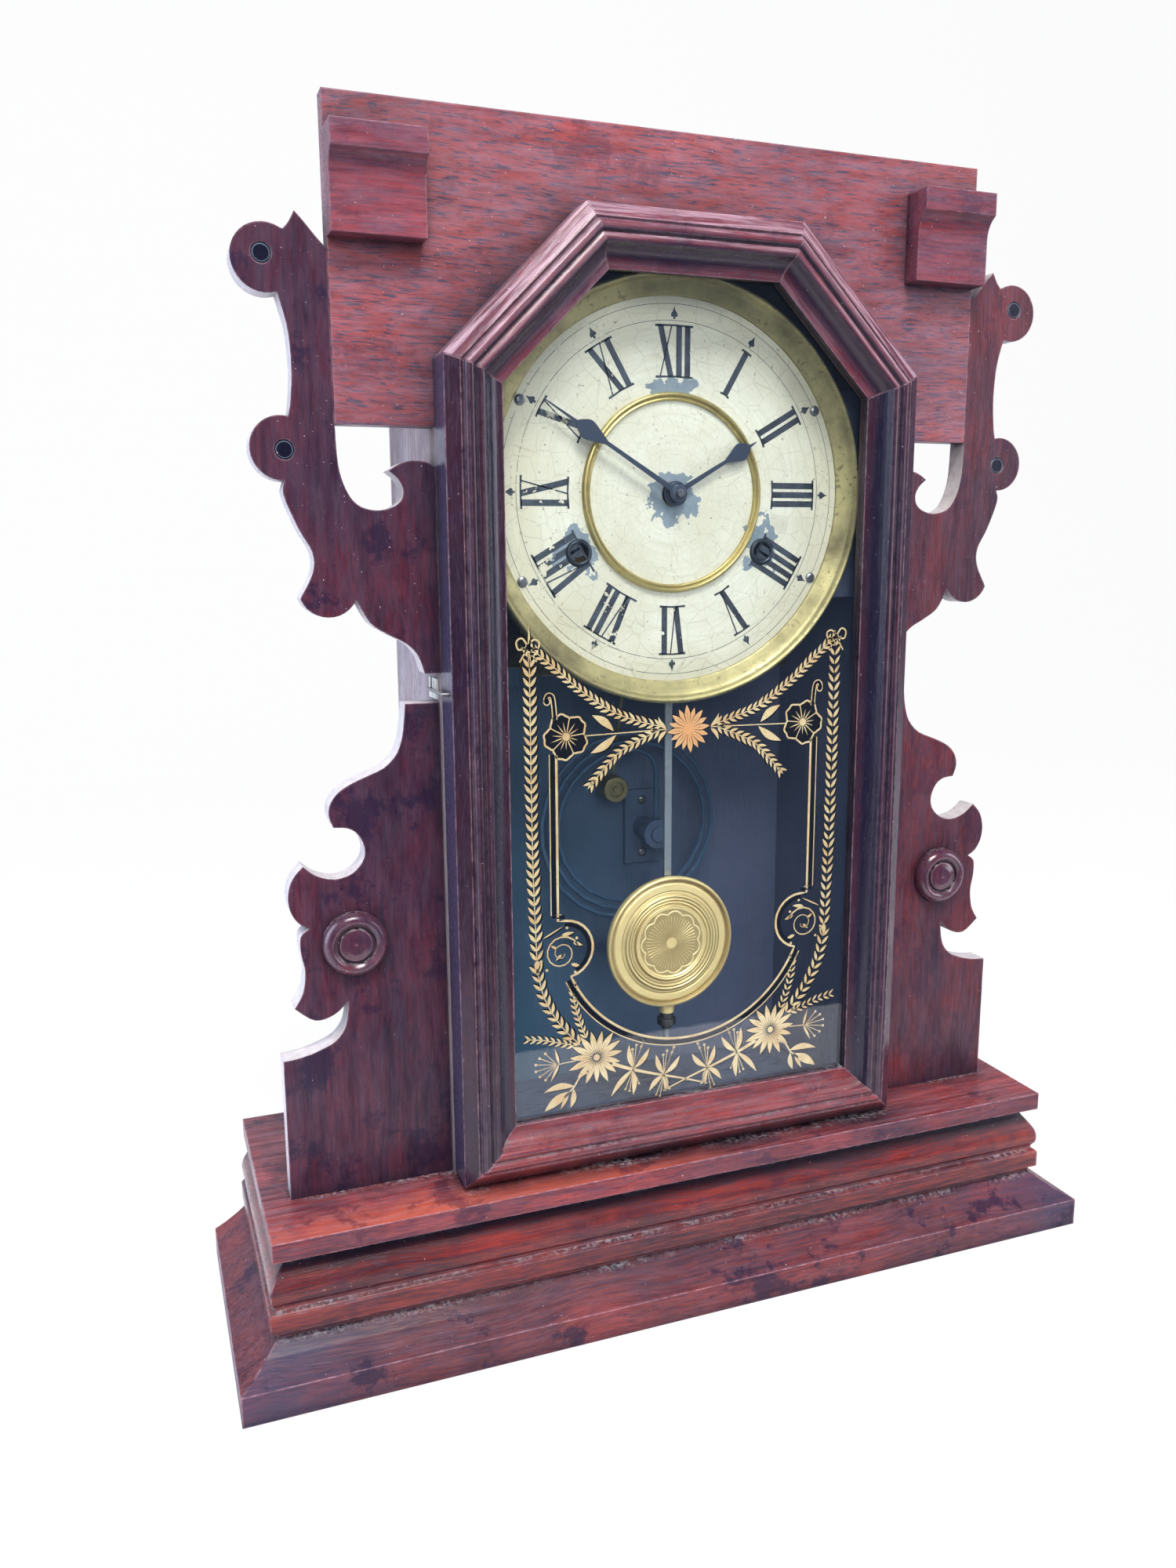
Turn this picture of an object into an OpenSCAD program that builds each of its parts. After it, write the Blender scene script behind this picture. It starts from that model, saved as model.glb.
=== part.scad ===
/* [Base] */
// Width over the skirt at the foot of the base
base_w = 386; // [376:1:396]
// Depth over the skirt at the foot of the base
base_d = 124; // [120:1:128]
// Height of the skirt's upright edge
skirt_edge = 12.4; // [8:0.2:16]
// Height of the skirt at its inner edge
skirt_h = 23; // [20:0.5:25]
// How far the skirt's slope runs inward
skirt_run = 15.8; // [12:0.2:18]
// Height of the top face of the base
base_h = 64; // [60:1:70]
// Thickness of the base's top board
board_t = 7.8; // [6:0.2:10]
// How far the top board's ends stand in from the skirt
board_in = 15.2; // [14:0.2:20]

/* [Case] */
// Outer width of the case, which is also the width of the door
case_w = 200; // [196:1:204]
// Depth of the case's side boards
case_d = 78.5; // [76:0.5:80]
// Thickness of the case's side boards
side_t = 8; // [7:0.5:9]
// Thickness of the backboard
back_t = 6.5; // [5:0.5:7]
// How far the base stands out in front of the case
base_front = 38.5; // [36:0.5:42]

/* [Crest and scrolls] */
// How far the crest board runs out past each side of the case
crest_over = 36.5; // [35:0.5:37.5]
// Height of the crest board's lower edge
crest_low = 363.8; // [360:0.5:366]
// Overall height of the clock
crest_top = 475; // [470:1:490]
// Thickness of the crest board
crest_t = 8; // [7:0.5:9]
// Thickness of the four scroll boards
scroll_t = 9.5; // [7:0.5:11]
// Width of a corbel block
corbel_w = 34; // [30:1:38]
// Depth of a corbel block at its lip
corbel_d = 13.6; // [11:0.2:16]
// Radius of a roundel
roundel_r = 12.8; // [11:0.1:13.5]

/* [Door] */
// Gap under the door, above the base
door_clear = 2; // [1.5:0.5:4]
// Height of the door's upper edge
door_top = 443; // [440:1:446]
// Run of the slanted corners at the top of the door
door_slant = 55; // [50:1:60]
// Width of the door's moulding
moulding_w = 22.4; // [21:0.2:24]
// Thickness of the glass
glass_t = 2.2; // [1.8:0.1:2.6]

/* [Dial] */
// Height of the centre of the dial
dial_z = 341; // [340:0.5:342]
// Room between the brass bezel and the nearest wall of the case
bezel_gap = 7; // [6:0.5:9]
// Width of the brass bezel
bezel_w = 9; // [8:0.5:10]
// Middle radius of the inner brass ring
inner_ring_r = 38; // [36:0.5:40]
// Length of the minute hand from the centre to its point
minute_len = 66.5; // [60:0.5:70]
// Length of the hour hand from the centre to its point
hour_len = 42; // [38:0.5:46]
// Distance of each winding arbor from the middle of the dial
wind_x = 41; // [40.5:0.1:41.5]

/* [Pendulum and gong] */
// Height of the bob's centre
bob_z = 151; // [146:1:156]
// Radius of the bob
bob_r = 29.5; // [26:0.5:31]
// Thickness of the bob
bob_t = 11; // [9:0.5:12]
// Radius of the gong's inner turn
gong_r = 35; // [33:0.5:37]
// Radius of the gong's wire
gong_wire = 1.1; // [0.9:0.1:1.3]
// Spacing of the gong's turns
gong_pitch = 4; // [3.4:0.1:4.4]

/* [Hidden] */
$fn = 48;

// Depths are counted back from the case's front edge, so this carries them into the clock's frame.
case_front = base_front - base_d / 2;
base_back = base_d - base_front;
side_x = case_w / 2;
inside_x = side_x - side_t;
case_top_z = 441;
crest_w = case_w + 2 * crest_over;
glue_gap = 0.1;
fit_gap = 0.05;
tiny = 0.01;

// Base
moulding_in = 13;
moulding_t = 16;
skirt_t = 24;
board_front = -26.3;
rail_t = 10;

// Scrolls: their outlines are drawn for a case of this half width, and move with its sides
drawn_half = 100;
upper_front = 0;
lower_front = 4.5;
roundel_x = side_x + 36.8;
roundel_z = 168;
roundel_t = 5.5;

// Door
door_low = base_h + door_clear;
door_gap = 0.3;
door_edge = 15.4;
glass_front = 12;
glass_back = glass_front - glass_t;
glass_land = 5;
mitre_gap = 0.05;
hinge_x = side_x + 2.4;
hinge_y = -2.4;
knuckle_r = 2;
hinge_pin_r = 1;
leaf_t = 1;
leaf_w = 8;
leaf_h = 20;
hinge_heights = [118, 338];
hook_x = -side_x - 2;
hook_y = -10.5;
hook_z = 265.5;
hook_len = 24.5;
hook_r = 0.7;
hook_pin_r = 0.8;
hook_tip_r = 0.6;
hook_slack = 0.08;

// Dial layers
dial_y = 7;
dial_t = 0.8;
hour_y = 4.2;
minute_y = 1.8;
hand_t = 0.6;
bezel_r = min(inside_x, case_top_z - side_t - dial_z) - bezel_gap;
dial_r = bezel_r - bezel_w;
dial_screw_r = dial_r - 2.6;
dial_screw_turns = [28, 152, 208, 332];
wind_z = dial_z - 23.4;
dial_block_in = dial_screw_r * cos(dial_screw_turns[0]) - 6.8;
dial_block_rise = dial_screw_r * sin(dial_screw_turns[0]) - 4.5;
dial_block_h = 26;
dial_block_t = 11;

// Movement layers
front_plate_y = 20;
back_plate_y = 58;
plate_t = 1.5;
plate_x = 62;
plate_low = dial_z - 73;
plate_high = dial_z + 57;
shake = 0.4;
pivot_r = 0.8;
arbor_r = 1.2;
centre_r = 2;
wind_r = 2.2;
strike_pipe_r = 3.2;
stud_r = 1;
post_r = 1.5;
pipe_r = 3;
pillar_r = 3;
pillar_low = [50, -56.6];
pillar_places = [[-pillar_low[0], pillar_low[1]], pillar_low, [-52, 49], [52, 49]];
rail_x0 = 50;
rail_x1 = 64;
plate_screw_places = [[-57, -30], [57, -30], [-57, 30], [57, 30]];

// Wheel work: each wheel has a count of teeth and a module
great_n = 76;
great_m = 0.75;
strike_n = 72;
lantern_n = 8;
second_n = 72;
second_m = 0.6;
centre_pinion_n = 12;
centre_n = 84;
centre_m = 0.5;
third_pinion_n = 10;
third_n = 80;
third_m = 0.42;
escape_pinion_n = 8;
escape_n = 36;
escape_r = 14.6;
pin_n = 52;
pin_m = 0.5;
fly_pinion_n = 8;
motion_pinion_n = 12;
minute_n = 36;
motion_m1 = 0.6;
minute_pinion_n = 10;
hour_n = 40;
motion_m2 = motion_m1 * (motion_pinion_n + minute_n) / (minute_pinion_n + hour_n);
minute_line = 60;

function reach(n1, n2, m) = m * (n1 + n2) / 2;
function polar(r, a) = [r * cos(a), r * sin(a)];
function bearing(p, q) = atan2(q[1] - p[1], q[0] - p[0]);

// Turn that brings wheel b into mesh with wheel a along the line from a to b
function mesh_turn(turn_a, n_a, n_b, line) = line + 180 - (0.5 - (line - turn_a) * n_a / 360) * 360 / n_b;

// Third corner of a triangle on p and q, at distances dp and dq, left or right of the line p to q
function third_corner(p, q, dp, dq, side) =
    let (l = norm(q - p), a = acos((dp * dp + l * l - dq * dq) / (2 * dp * l)))
    p + polar(dp, bearing(p, q) + side * a);

centre_p = [0, dial_z];
time_p = [wind_x, wind_z];
strike_p = [-wind_x, wind_z];
second_p = third_corner(centre_p, time_p, reach(second_n, centre_pinion_n, second_m),
    reach(great_n, lantern_n, great_m), 1);
verge_p = [0, dial_z - 19];
escape_p = [0, dial_z - 41];
third_p = third_corner(centre_p, escape_p, reach(centre_n, third_pinion_n, centre_m),
    reach(third_n, escape_pinion_n, third_m), 1);
minute_p = centre_p + polar(reach(motion_pinion_n, minute_n, motion_m1), minute_line);
pin_p = strike_p + polar(reach(strike_n, lantern_n, great_m), -35);
fly_p = pin_p + polar(reach(pin_n, fly_pinion_n, pin_m), 250);
hammer_p = [4, dial_z - 58];

second_pinion_turn = mesh_turn(0, great_n, lantern_n, bearing(time_p, second_p));
centre_pinion_turn = mesh_turn(0, second_n, centre_pinion_n, bearing(second_p, centre_p));
third_pinion_turn = mesh_turn(0, centre_n, third_pinion_n, bearing(centre_p, third_p));
escape_pinion_turn = mesh_turn(0, third_n, escape_pinion_n, bearing(third_p, escape_p));
pin_pinion_turn = mesh_turn(0, strike_n, lantern_n, bearing(strike_p, pin_p));
fly_pinion_turn = mesh_turn(0, pin_n, fly_pinion_n, bearing(pin_p, fly_p));
minute_turn = mesh_turn(0, motion_pinion_n, minute_n, minute_line);
hour_turn = mesh_turn(0, minute_pinion_n, hour_n, minute_line + 180);

// Pendulum and gong
rod_y = 10.5;
rod_w = 3.2;
rod_t = 1.2;
nut_z = 110.5;
thread_r = 1.3;
nut_h = 7.4;
bob_travel = 5;
thread_top = nut_z + nut_h + bob_travel + 1;
gong_y = 60;
gong_p = [3.4, 192.5];
gong_hub = [16.2, 187];
gong_turns = 2.6;
hammer_y = 63.5;
hammer_head = [-4.5, 209.6];
hammer_head_r = 6.2;

echo(joint_points_mm = [
    ["second", second_p], ["third", third_p], ["escape", escape_p], ["verge", verge_p],
    ["minute_wheel", minute_p], ["pin_wheel", pin_p], ["fly", fly_p], ["hammer", hammer_p]
]);
echo(depth_shift_mm = case_front);

module place() {
    translate([0, case_front, 0])
        children();
}

// Turns a flat shape drawn as seen from the front into a board between two depths
module board(y0, y1) {
    translate([0, y1, 0])
        rotate([90, 0, 0])
            linear_extrude(y1 - y0)
                children();
}

module axle(p, y0, y1, r) {
    translate([p[0], y1, p[1]])
        rotate([90, 0, 0])
            cylinder(h = y1 - y0, r = r);
}

// Turns a profile of radius and depth about an axis that runs from front to back
module turned(p, y0) {
    translate([p[0], y0, p[1]])
        rotate([-90, 0, 0])
            rotate_extrude($fn = 96)
                children();
}

module mirrored() {
    children();
    mirror([1, 0, 0])
        children();
}

// Smooth curve through a list of points
function knot(k, i) = k[max(0, min(len(k) - 1, i))];
function spline_at(k, i, t) =
    let (a = knot(k, i - 1), b = knot(k, i), c = knot(k, i + 1), d = knot(k, i + 2))
    0.5 * (2 * b + (c - a) * t + (2 * a - 5 * b + 4 * c - d) * t * t
        + (3 * b - a - 3 * c + d) * t * t * t);
function curve(k, steps = 4) = [
    for (i = [0 : len(k) - 2]) for (s = [0 : steps - 1]) spline_at(k, i, s / steps)
];
function arc(c, r, a0, a1, n = 14) = [for (i = [0 : n]) c + polar(r, a0 + (a1 - a0) * i / n)];

// Base: a mitred skirt and a mitred moulding round the front and the ends, under a plain board
skirt_profile = [
    [0, 0], [0, skirt_edge],
    [-skirt_run * 0.3, skirt_edge + (skirt_h - skirt_edge) * 0.24],
    [-skirt_run * 0.65, skirt_edge + (skirt_h - skirt_edge) * 0.58],
    [-skirt_run, skirt_h], [-skirt_t, skirt_h], [-skirt_t, 0]
];
bead_top = base_h - board_t;
moulding_profile = concat(
    [[-moulding_t, bead_top], [-moulding_t, skirt_h], [-2.6, skirt_h], [-2.6, skirt_h + 2.4],
        [0, skirt_h + 3.2], [0, skirt_h + 10.2], [-0.6, skirt_h + 11], [-2.2, skirt_h + 12],
        [-2.2, skirt_h + 13.2]],
    curve([[-0.9, skirt_h + 15.2], [-0.6, skirt_h + 18], [-1.4, skirt_h + 21.5], [-4, skirt_h + 25.5],
        [-6.6, skirt_h + 29], [-8, bead_top]], 3),
    [[-8, bead_top]]
);

module front_run(half_w, front, profile, t, h) {
    intersection() {
        translate([0, front, 0])
            rotate([90, 0, -90])
                linear_extrude(2 * half_w, center = true)
                    polygon(profile);
        linear_extrude(h)
            polygon([
                [-half_w + glue_gap, front - 1], [half_w - glue_gap, front - 1],
                [half_w - glue_gap, front], [half_w - t - glue_gap - 1, front + t + 1],
                [-half_w + t + glue_gap + 1, front + t + 1], [-half_w + glue_gap, front]
            ]);
    }
}

module end_run(half_w, front, profile, t, h) {
    intersection() {
        translate([half_w, base_back, 0])
            rotate([90, 0, 0])
                linear_extrude(base_back - front)
                    polygon(profile);
        linear_extrude(h)
            polygon([
                [half_w + 1, front + glue_gap - 1], [half_w + 1, base_back],
                [half_w - t - 1, base_back], [half_w - t - 1, front + t + 1 + glue_gap]
            ]);
    }
}

module base_skirt() {
    color("#5a2a22")
        place() {
            front_run(base_w / 2, -base_front, skirt_profile, skirt_t, skirt_h + 1);
            mirrored()
                end_run(base_w / 2, -base_front, skirt_profile, skirt_t, skirt_h + 1);
        }
}

module base_moulding() {
    half_w = base_w / 2 - moulding_in;
    front = -base_front + moulding_in;
    color("#6b2f24")
        place() {
            front_run(half_w, front, moulding_profile, moulding_t, base_h);
            mirrored()
                end_run(half_w, front, moulding_profile, moulding_t, base_h);
        }
}

module base_top_board() {
    half_w = base_w / 2 - board_in;
    color("#7a3426")
        place()
            translate([-half_w, board_front, bead_top])
                cube([2 * half_w, base_back - board_front, board_t]);
}

module base_back_rail() {
    half_w = base_w / 2 - skirt_t - glue_gap;
    color("#6a4a36")
        place()
            difference() {
                translate([-half_w, base_back - rail_t, 0])
                    cube([2 * half_w, rail_t, bead_top]);
                mirrored()
                    translate([base_w / 2 - moulding_in - moulding_t - glue_gap, base_back - rail_t - 1, skirt_h])
                        cube([skirt_t, rail_t + 2, bead_top]);
            }
}

// Case: two sides, a top and a backboard, standing on the base's top board
module case_side() {
    difference() {
        union() {
            translate([inside_x, 0, base_h])
                cube([side_t, case_d, crest_low - base_h]);
            translate([inside_x, crest_t, base_h])
                cube([side_t, case_d - crest_t, case_top_z - side_t - base_h]);
        }
        children();
    }
}

module hinge_recess(y0, y1) {
    for (z = hinge_heights)
        translate([side_x - leaf_w - fit_gap, y0, z - leaf_h / 2 - fit_gap])
            cube([leaf_w + 1, y1 - y0, leaf_h + 2 * fit_gap]);
}

module case_side_left() {
    color("#8d8791")
        place()
            mirror([1, 0, 0])
                case_side();
}

module case_side_right() {
    color("#8d8791")
        place()
            case_side() {
                hinge_recess(-1, leaf_t + fit_gap);
                hinge_screws(leaf_t, 8, 1);
            }
}

module case_top() {
    color("#6a4a36")
        place()
            translate([-side_x, crest_t, case_top_z - side_t])
                cube([case_w, case_d - crest_t, side_t]);
}

module backboard() {
    color("#5b4030")
        place()
            difference() {
                translate([-side_x + 1, case_d, base_h])
                    cube([case_w - 2, back_t, case_top_z - base_h]);
                for (p = gong_screw_places)
                    axle(p, case_d - 1, case_d + back_t + 1, 1);
            }
}

// Glue blocks: four behind the dial, and two upright rails that carry the movement
module case_blocks() {
    color("#7d5c42")
        place()
            difference() {
                mirrored() {
                    for (s = [-1, 1])
                        translate([dial_block_in, dial_y + dial_t, dial_z + dial_block_rise * s - dial_block_h / 2])
                            cube([inside_x - dial_block_in, dial_block_t, dial_block_h]);
                    translate([rail_x0, back_plate_y + plate_t, plate_low - 8])
                        cube([rail_x1 - rail_x0, case_d - back_plate_y - plate_t, plate_high - plate_low + 16]);
                }
                wood_screw_shanks();
            }
}

module screw(p, y, len) {
    turned(p, y)
        polygon([[0, -1.1], [1.2, -1], [2, -0.5], [2.2, 0], [1, 0], [1, len - 1.5], [0, len]]);
}

module screw_shank(p, y, len) {
    turned(p, y)
        polygon([[0, -1.1], [1, -1], [1, len - 1.5], [0, len]]);
}

gong_screw_places = [gong_hub + [0, 13], gong_hub - [0, 13]];

module wood_screws() {
    color("#7f8076")
        place() {
            for (a = dial_screw_turns)
                screw(centre_p + polar(dial_screw_r, a), dial_y, 8);
            for (p = plate_screw_places)
                screw(centre_p + p, back_plate_y, 10);
            for (p = gong_screw_places)
                screw(p, case_d - 3, 8.5);
        }
}

module wood_screw_shanks() {
    for (a = dial_screw_turns)
        screw_shank(centre_p + polar(dial_screw_r, a), dial_y, 8);
    for (p = plate_screw_places)
        screw_shank(centre_p + p, back_plate_y, 10);
}

// Crest board, cut away behind the door, with a corbel block at each upper corner
function opening_outline() = [
    [-inside_x, crest_low - 1], [inside_x, crest_low - 1],
    [inside_x, door_top - door_slant - side_t * tan(22.5)],
    [side_x - door_slant - side_t * tan(22.5), case_top_z - side_t],
    [-(side_x - door_slant - side_t * tan(22.5)), case_top_z - side_t],
    [-inside_x, door_top - door_slant - side_t * tan(22.5)]
];

module crest_board() {
    color("#8a3f30")
        place()
            board(0, crest_t)
                difference() {
                    translate([-crest_w / 2, crest_low])
                        square([crest_w, crest_top - crest_low]);
                    polygon(opening_outline());
                }
}

corbel_top = crest_top - 13;
corbel_low = corbel_top - 35;
corbel_back = corbel_d * 0.64;
corbel_profile = concat(
    [[0, corbel_top], [0, corbel_low], [-corbel_back, corbel_low], [-corbel_back, corbel_low + 17]],
    curve([[-corbel_back, corbel_low + 17], [-corbel_back - 0.4, corbel_low + 20.5],
        [-corbel_back - 1.8, corbel_low + 23.6], [-corbel_d + 0.6, corbel_low + 26]], 4),
    [[-corbel_d, corbel_low + 26.4], [-corbel_d, corbel_top]]
);

module corbels() {
    color("#82392c")
        place()
            mirrored()
                translate([crest_w / 2 - corbel_w, 0, 0])
                    rotate([90, 0, 90])
                        linear_extrude(corbel_w)
                            polygon(corbel_profile);
}

// Scroll boards: each outline runs along the joint first, then round the sawn edge
crest_edge = drawn_half + crest_over + glue_gap;
case_edge = drawn_half + glue_gap;
upper_outline = concat(
    [[crest_edge, crest_low]],
    curve([[crest_edge, 422.8], [141, 427.4], [144.6, 431.6], [147.5, 434.6]], 3),
    curve([[147.5, 434.6], [149.5, 430.8], [152.4, 427.6]], 3),
    arc([158.3, 418.6], 11.6, 120, -108, 22),
    curve([[154.4, 406.6], [151.9, 397], [151, 387], [151.2, 377], [152.5, 366.2]], 3),
    arc([155.6, 355], 11.3, 104, -92, 20),
    curve([[155.4, 343], [155.9, 338.6], [151.3, 327], [146.7, 318.5], [146.9, 311], [152, 301.7]], 4),
    arc([141.5, 306], 11.2, -23, -153, 12),
    curve([[131.2, 300.6], [126.5, 292.4], [120, 288], [113, 284.2], [108.8, 279.5], [106.5, 272.8]], 4),
    [[106.5, 272.8], [case_edge, 272.8]],
    curve([[case_edge, 349.4], [103.5, 351.2], [108.5, 351.6], [113.5, 350.4], [117.7, 347.8]], 3),
    curve([[117.7, 347.8], [114.4, 345], [112.5, 341.2], [113.6, 336.9], [118, 334.2], [123.8, 333.6],
        [129.6, 335.6], [133.6, 341], [136, 350], [crest_edge, crest_low]], 4)
);
lower_outline = concat(
    [[case_edge, base_h], [166.5, base_h]],
    curve([[166.5, 122.8], [160, 123.4], [153.5, 125], [146, 128.3], [141.6, 134.4], [140.1, 144.3]], 4),
    curve([[140.1, 144.3], [145.9, 139.4], [153.5, 138], [161.1, 143.8]], 4),
    curve([[161.1, 143.8], [157.6, 150], [156.4, 158.4], [157.6, 166], [157.4, 172.6], [154, 175.6]], 4),
    curve([[154, 175.6], [158, 178.2], [160.9, 183.5], [161.3, 190], [159.4, 195.8], [155.3, 200.4]], 4),
    curve([[155.3, 200.4], [150.5, 196.4], [143.3, 194.2], [136.5, 196], [132.2, 200.5], [131.4, 205.6],
        [133.6, 211], [137.5, 213.9], [143, 214.6]], 3),
    curve([[143, 214.6], [144.6, 219.5], [143.6, 224.5], [139.6, 229], [132, 232.8], [123, 236.4],
        [117.4, 242], [115, 249], [114.2, 255], [113.6, 261]], 3),
    [[113.6, 261], [case_edge, 261]]
);
ring_places = [[159.4, 420.1], [154.8, 354.5]];

module upper_scroll() {
    translate([side_x - drawn_half, 0, 0])
        difference() {
            board(upper_front, upper_front + scroll_t)
                polygon(upper_outline);
            for (p = ring_places)
                turned(p, upper_front - 1)
                    translate([3, 0])
                        square([0.5, 1.8]);
        }
}

module lower_scroll() {
    translate([side_x - drawn_half, 0, 0])
        board(lower_front, lower_front + scroll_t)
            polygon(lower_outline);
}

module upper_scroll_left() {
    color("#4f2a38")
        place()
            mirror([1, 0, 0])
                upper_scroll();
}

module upper_scroll_right() {
    color("#7a3934")
        place()
            difference() {
                upper_scroll();
                translate([side_x, -1, hinge_heights[1] - leaf_h / 2 - 1])
                    cube([3.4, leaf_t + 1.2, leaf_h + 2]);
            }
}

module lower_scroll_left() {
    color("#4d2630")
        place()
            mirror([1, 0, 0])
                lower_scroll();
}

module lower_scroll_right() {
    color("#703238")
        place()
            lower_scroll();
}

module roundels() {
    r = roundel_r;
    t = roundel_t;
    color("#5e2c33")
        place()
            mirrored()
                turned([roundel_x, roundel_z], lower_front - t)
                    polygon(concat(
                        [[0, t], [0, 0.7], [r * 0.3, 0.8], [r * 0.5, 1.3], [r * 0.53, 2.6], [r * 0.6, 2.6]],
                        curve([[r * 0.62, 1.1], [r * 0.74, 0.1], [r * 0.88, 0.6], [r * 0.99, 2.6], [r, t]], 4),
                        [[r, t]]
                    ));
}

// Door: six mitred lengths of moulding, the glass and the beads that hold it
function door_outline(d) =
    let (t = d * tan(22.5), w = side_x - d, zs = door_top - door_slant - t, wt = side_x - door_slant - t)
    [[-w, door_low + d], [w, door_low + d], [w, zs], [wt, door_top - d], [-wt, door_top - d], [-w, zs]];
door_corners = [90, 90, 135, 135, 135, 135];

door_profile = concat(
    [[0, door_gap], [0, door_edge]],
    curve([[0.3, door_edge + 0.2], [2.4, door_edge + 1.6], [4.4, door_edge + 3], [6, door_edge + 3.9]], 2),
    [[6.2, door_edge + 3.2], [6.8, door_edge + 3.3]],
    curve([[6.9, door_edge + 4.6], [8, door_edge + 5.4], [9.6, door_edge + 5.2], [10.4, door_edge + 4.2]], 3),
    [[10.8, door_edge + 4]],
    curve([[11.2, door_edge + 4.7], [12.6, door_edge + 5.3], [14, door_edge + 4.8], [14.6, door_edge + 3.6]], 3),
    curve([[15.2, door_edge + 2.4], [17, door_edge + 0.4], [19.4, door_edge - 0.9],
        [moulding_w, door_edge - 1.4]], 3),
    [[moulding_w, door_edge - 1.4], [moulding_w, glass_front], [moulding_w - glass_land, glass_front],
        [moulding_w - glass_land, door_gap]]
);
bead_profile = [[0, door_gap + 4], [0, glass_back - 0.1], [4.2, glass_back - 0.1], [4.2, glass_back - 3]];

// One length of the frame, mitred at both ends, on edge i of the outline at inset d
module stick(i, d, profile, wide) {
    o = door_outline(d);
    p = o[i];
    q = o[(i + 1) % 6];
    l = norm(q - p);
    a = wide / tan(door_corners[i] / 2);
    b = wide / tan(door_corners[(i + 1) % 6] / 2);
    rotate([90, 0, 0])
        translate([p[0], p[1], 0])
            rotate([0, 0, bearing(p, q)])
                intersection() {
                    rotate([90, 0, 90])
                        linear_extrude(l)
                            polygon(profile);
                    linear_extrude(30)
                        polygon([[mitre_gap, 0], [l - mitre_gap, 0], [l - b - mitre_gap, wide],
                            [a + mitre_gap, wide]]);
                }
}

module door_stick(i) {
    stick(i, 0, door_profile, moulding_w);
}

module door_rail_bottom() {
    color("#7a3530")
        place()
            door_stick(0);
}

module door_stile_right() {
    color("#6a2f38")
        place()
            difference() {
                door_stick(1);
                hinge_recess(-door_gap - leaf_t - fit_gap, 1);
                hinge_screws(-door_gap - leaf_t, -8, 1);
            }
}

module door_slants() {
    color("#7b4a4c")
        place() {
            door_stick(2);
            door_stick(4);
        }
}

module door_rail_top() {
    color("#8a4a45")
        place()
            door_stick(3);
}

module door_stile_left() {
    color("#5a2b3a")
        place()
            difference() {
                door_stick(5);
                translate([-side_x - 1, hook_y, hook_z])
                    rotate([0, 90, 0])
                        cylinder(h = 6.5, r = hook_pin_r + hook_slack);
            }
}

module door_glass() {
    color("#9fb4c4", 0.35)
        place()
            board(-glass_front, -glass_back)
                polygon(door_outline(moulding_w - glass_land + 0.4));
}

module glass_beads() {
    color("#4a3a34")
        place()
            for (i = [0 : 5])
                stick(i, moulding_w - glass_land + fit_gap, bead_profile, 4.2);
}

// Hinges at the right edge: leaves let into the wood, with a knuckle outside the case
module hinge_screws(y, len, r) {
    for (z = hinge_heights)
        for (s = [-1, 1])
            translate([side_x - leaf_w / 2, min(y, y + len), z + 6 * s])
                rotate([-90, 0, 0])
                    cylinder(h = abs(len), r = r);
}

module knuckle(z0, z1, r_hole) {
    for (z = hinge_heights)
        translate([hinge_x, hinge_y, z + z0])
            difference() {
                cylinder(h = z1 - z0, r = knuckle_r);
                translate([0, 0, -1])
                    cylinder(h = z1 - z0 + 2, r = r_hole);
            }
}

module leaf(y0, z_from, z_to) {
    for (z = hinge_heights)
        translate([side_x - leaf_w, y0, z - leaf_h / 2])
            difference() {
                union() {
                    cube([leaf_w, leaf_t, leaf_h]);
                    translate([leaf_w - tiny, 0, z_from + leaf_h / 2])
                        cube([0.5, leaf_t, z_to - z_from]);
                }
                for (s = [-6, 6])
                    translate([leaf_w / 2, -1, leaf_h / 2 + s])
                        rotate([-90, 0, 0])
                            cylinder(h = leaf_t + 2, r = 1);
            }
}

module knuckle_bridge(y0, y1, z0, z1) {
    for (z = hinge_heights)
        translate([side_x + 0.3, y0, z + z0])
            difference() {
                cube([hinge_x - side_x, y1 - y0, z1 - z0]);
                translate([hinge_x - side_x - 0.3, hinge_y - y0, -1])
                    cylinder(h = z1 - z0 + 2, r = knuckle_r - 0.2);
            }
}

module hinge_door_leaves() {
    color("#8a7a4c")
        place() {
            leaf(-door_gap - leaf_t, -3, 3);
            knuckle(-3, 3, hinge_pin_r + fit_gap);
            knuckle_bridge(-door_gap - leaf_t, -door_gap, -3, 3);
            hinge_screws(-door_gap - leaf_t, -8, 1);
        }
}

module hinge_case_leaves() {
    color("#8a7a4c")
        place() {
            difference() {
                union() {
                    leaf(0, -leaf_h / 2, leaf_h / 2);
                    for (s = [0, 1])
                        knuckle_bridge(-0.6, leaf_t, s * 13.2 - leaf_h / 2, s * 13.2 - 3.2);
                }
                for (z = hinge_heights)
                    translate([side_x + tiny, -3, z - 3.2])
                        cube([6, 8, 6.4]);
            }
            knuckle(-leaf_h / 2, -3.2, hinge_pin_r);
            knuckle(3.2, leaf_h / 2, hinge_pin_r);
            for (z = hinge_heights)
                translate([hinge_x, hinge_y, z - leaf_h / 2 - 1])
                    cylinder(h = leaf_h + 2, r = hinge_pin_r);
            hinge_screws(leaf_t, 8, 1);
        }
}

// Catch at the left edge: a wire hook swings up and down on its bent end, which runs in the
// door's edge, and its tip drops into the open slot of a plate on the case's side
hook_end = hook_y + hook_len;

module hook_wire(x0, y, x1, r) {
    translate([x0, y, hook_z])
        rotate([0, 90, 0])
            cylinder(h = x1 - x0, r = r);
}

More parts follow.
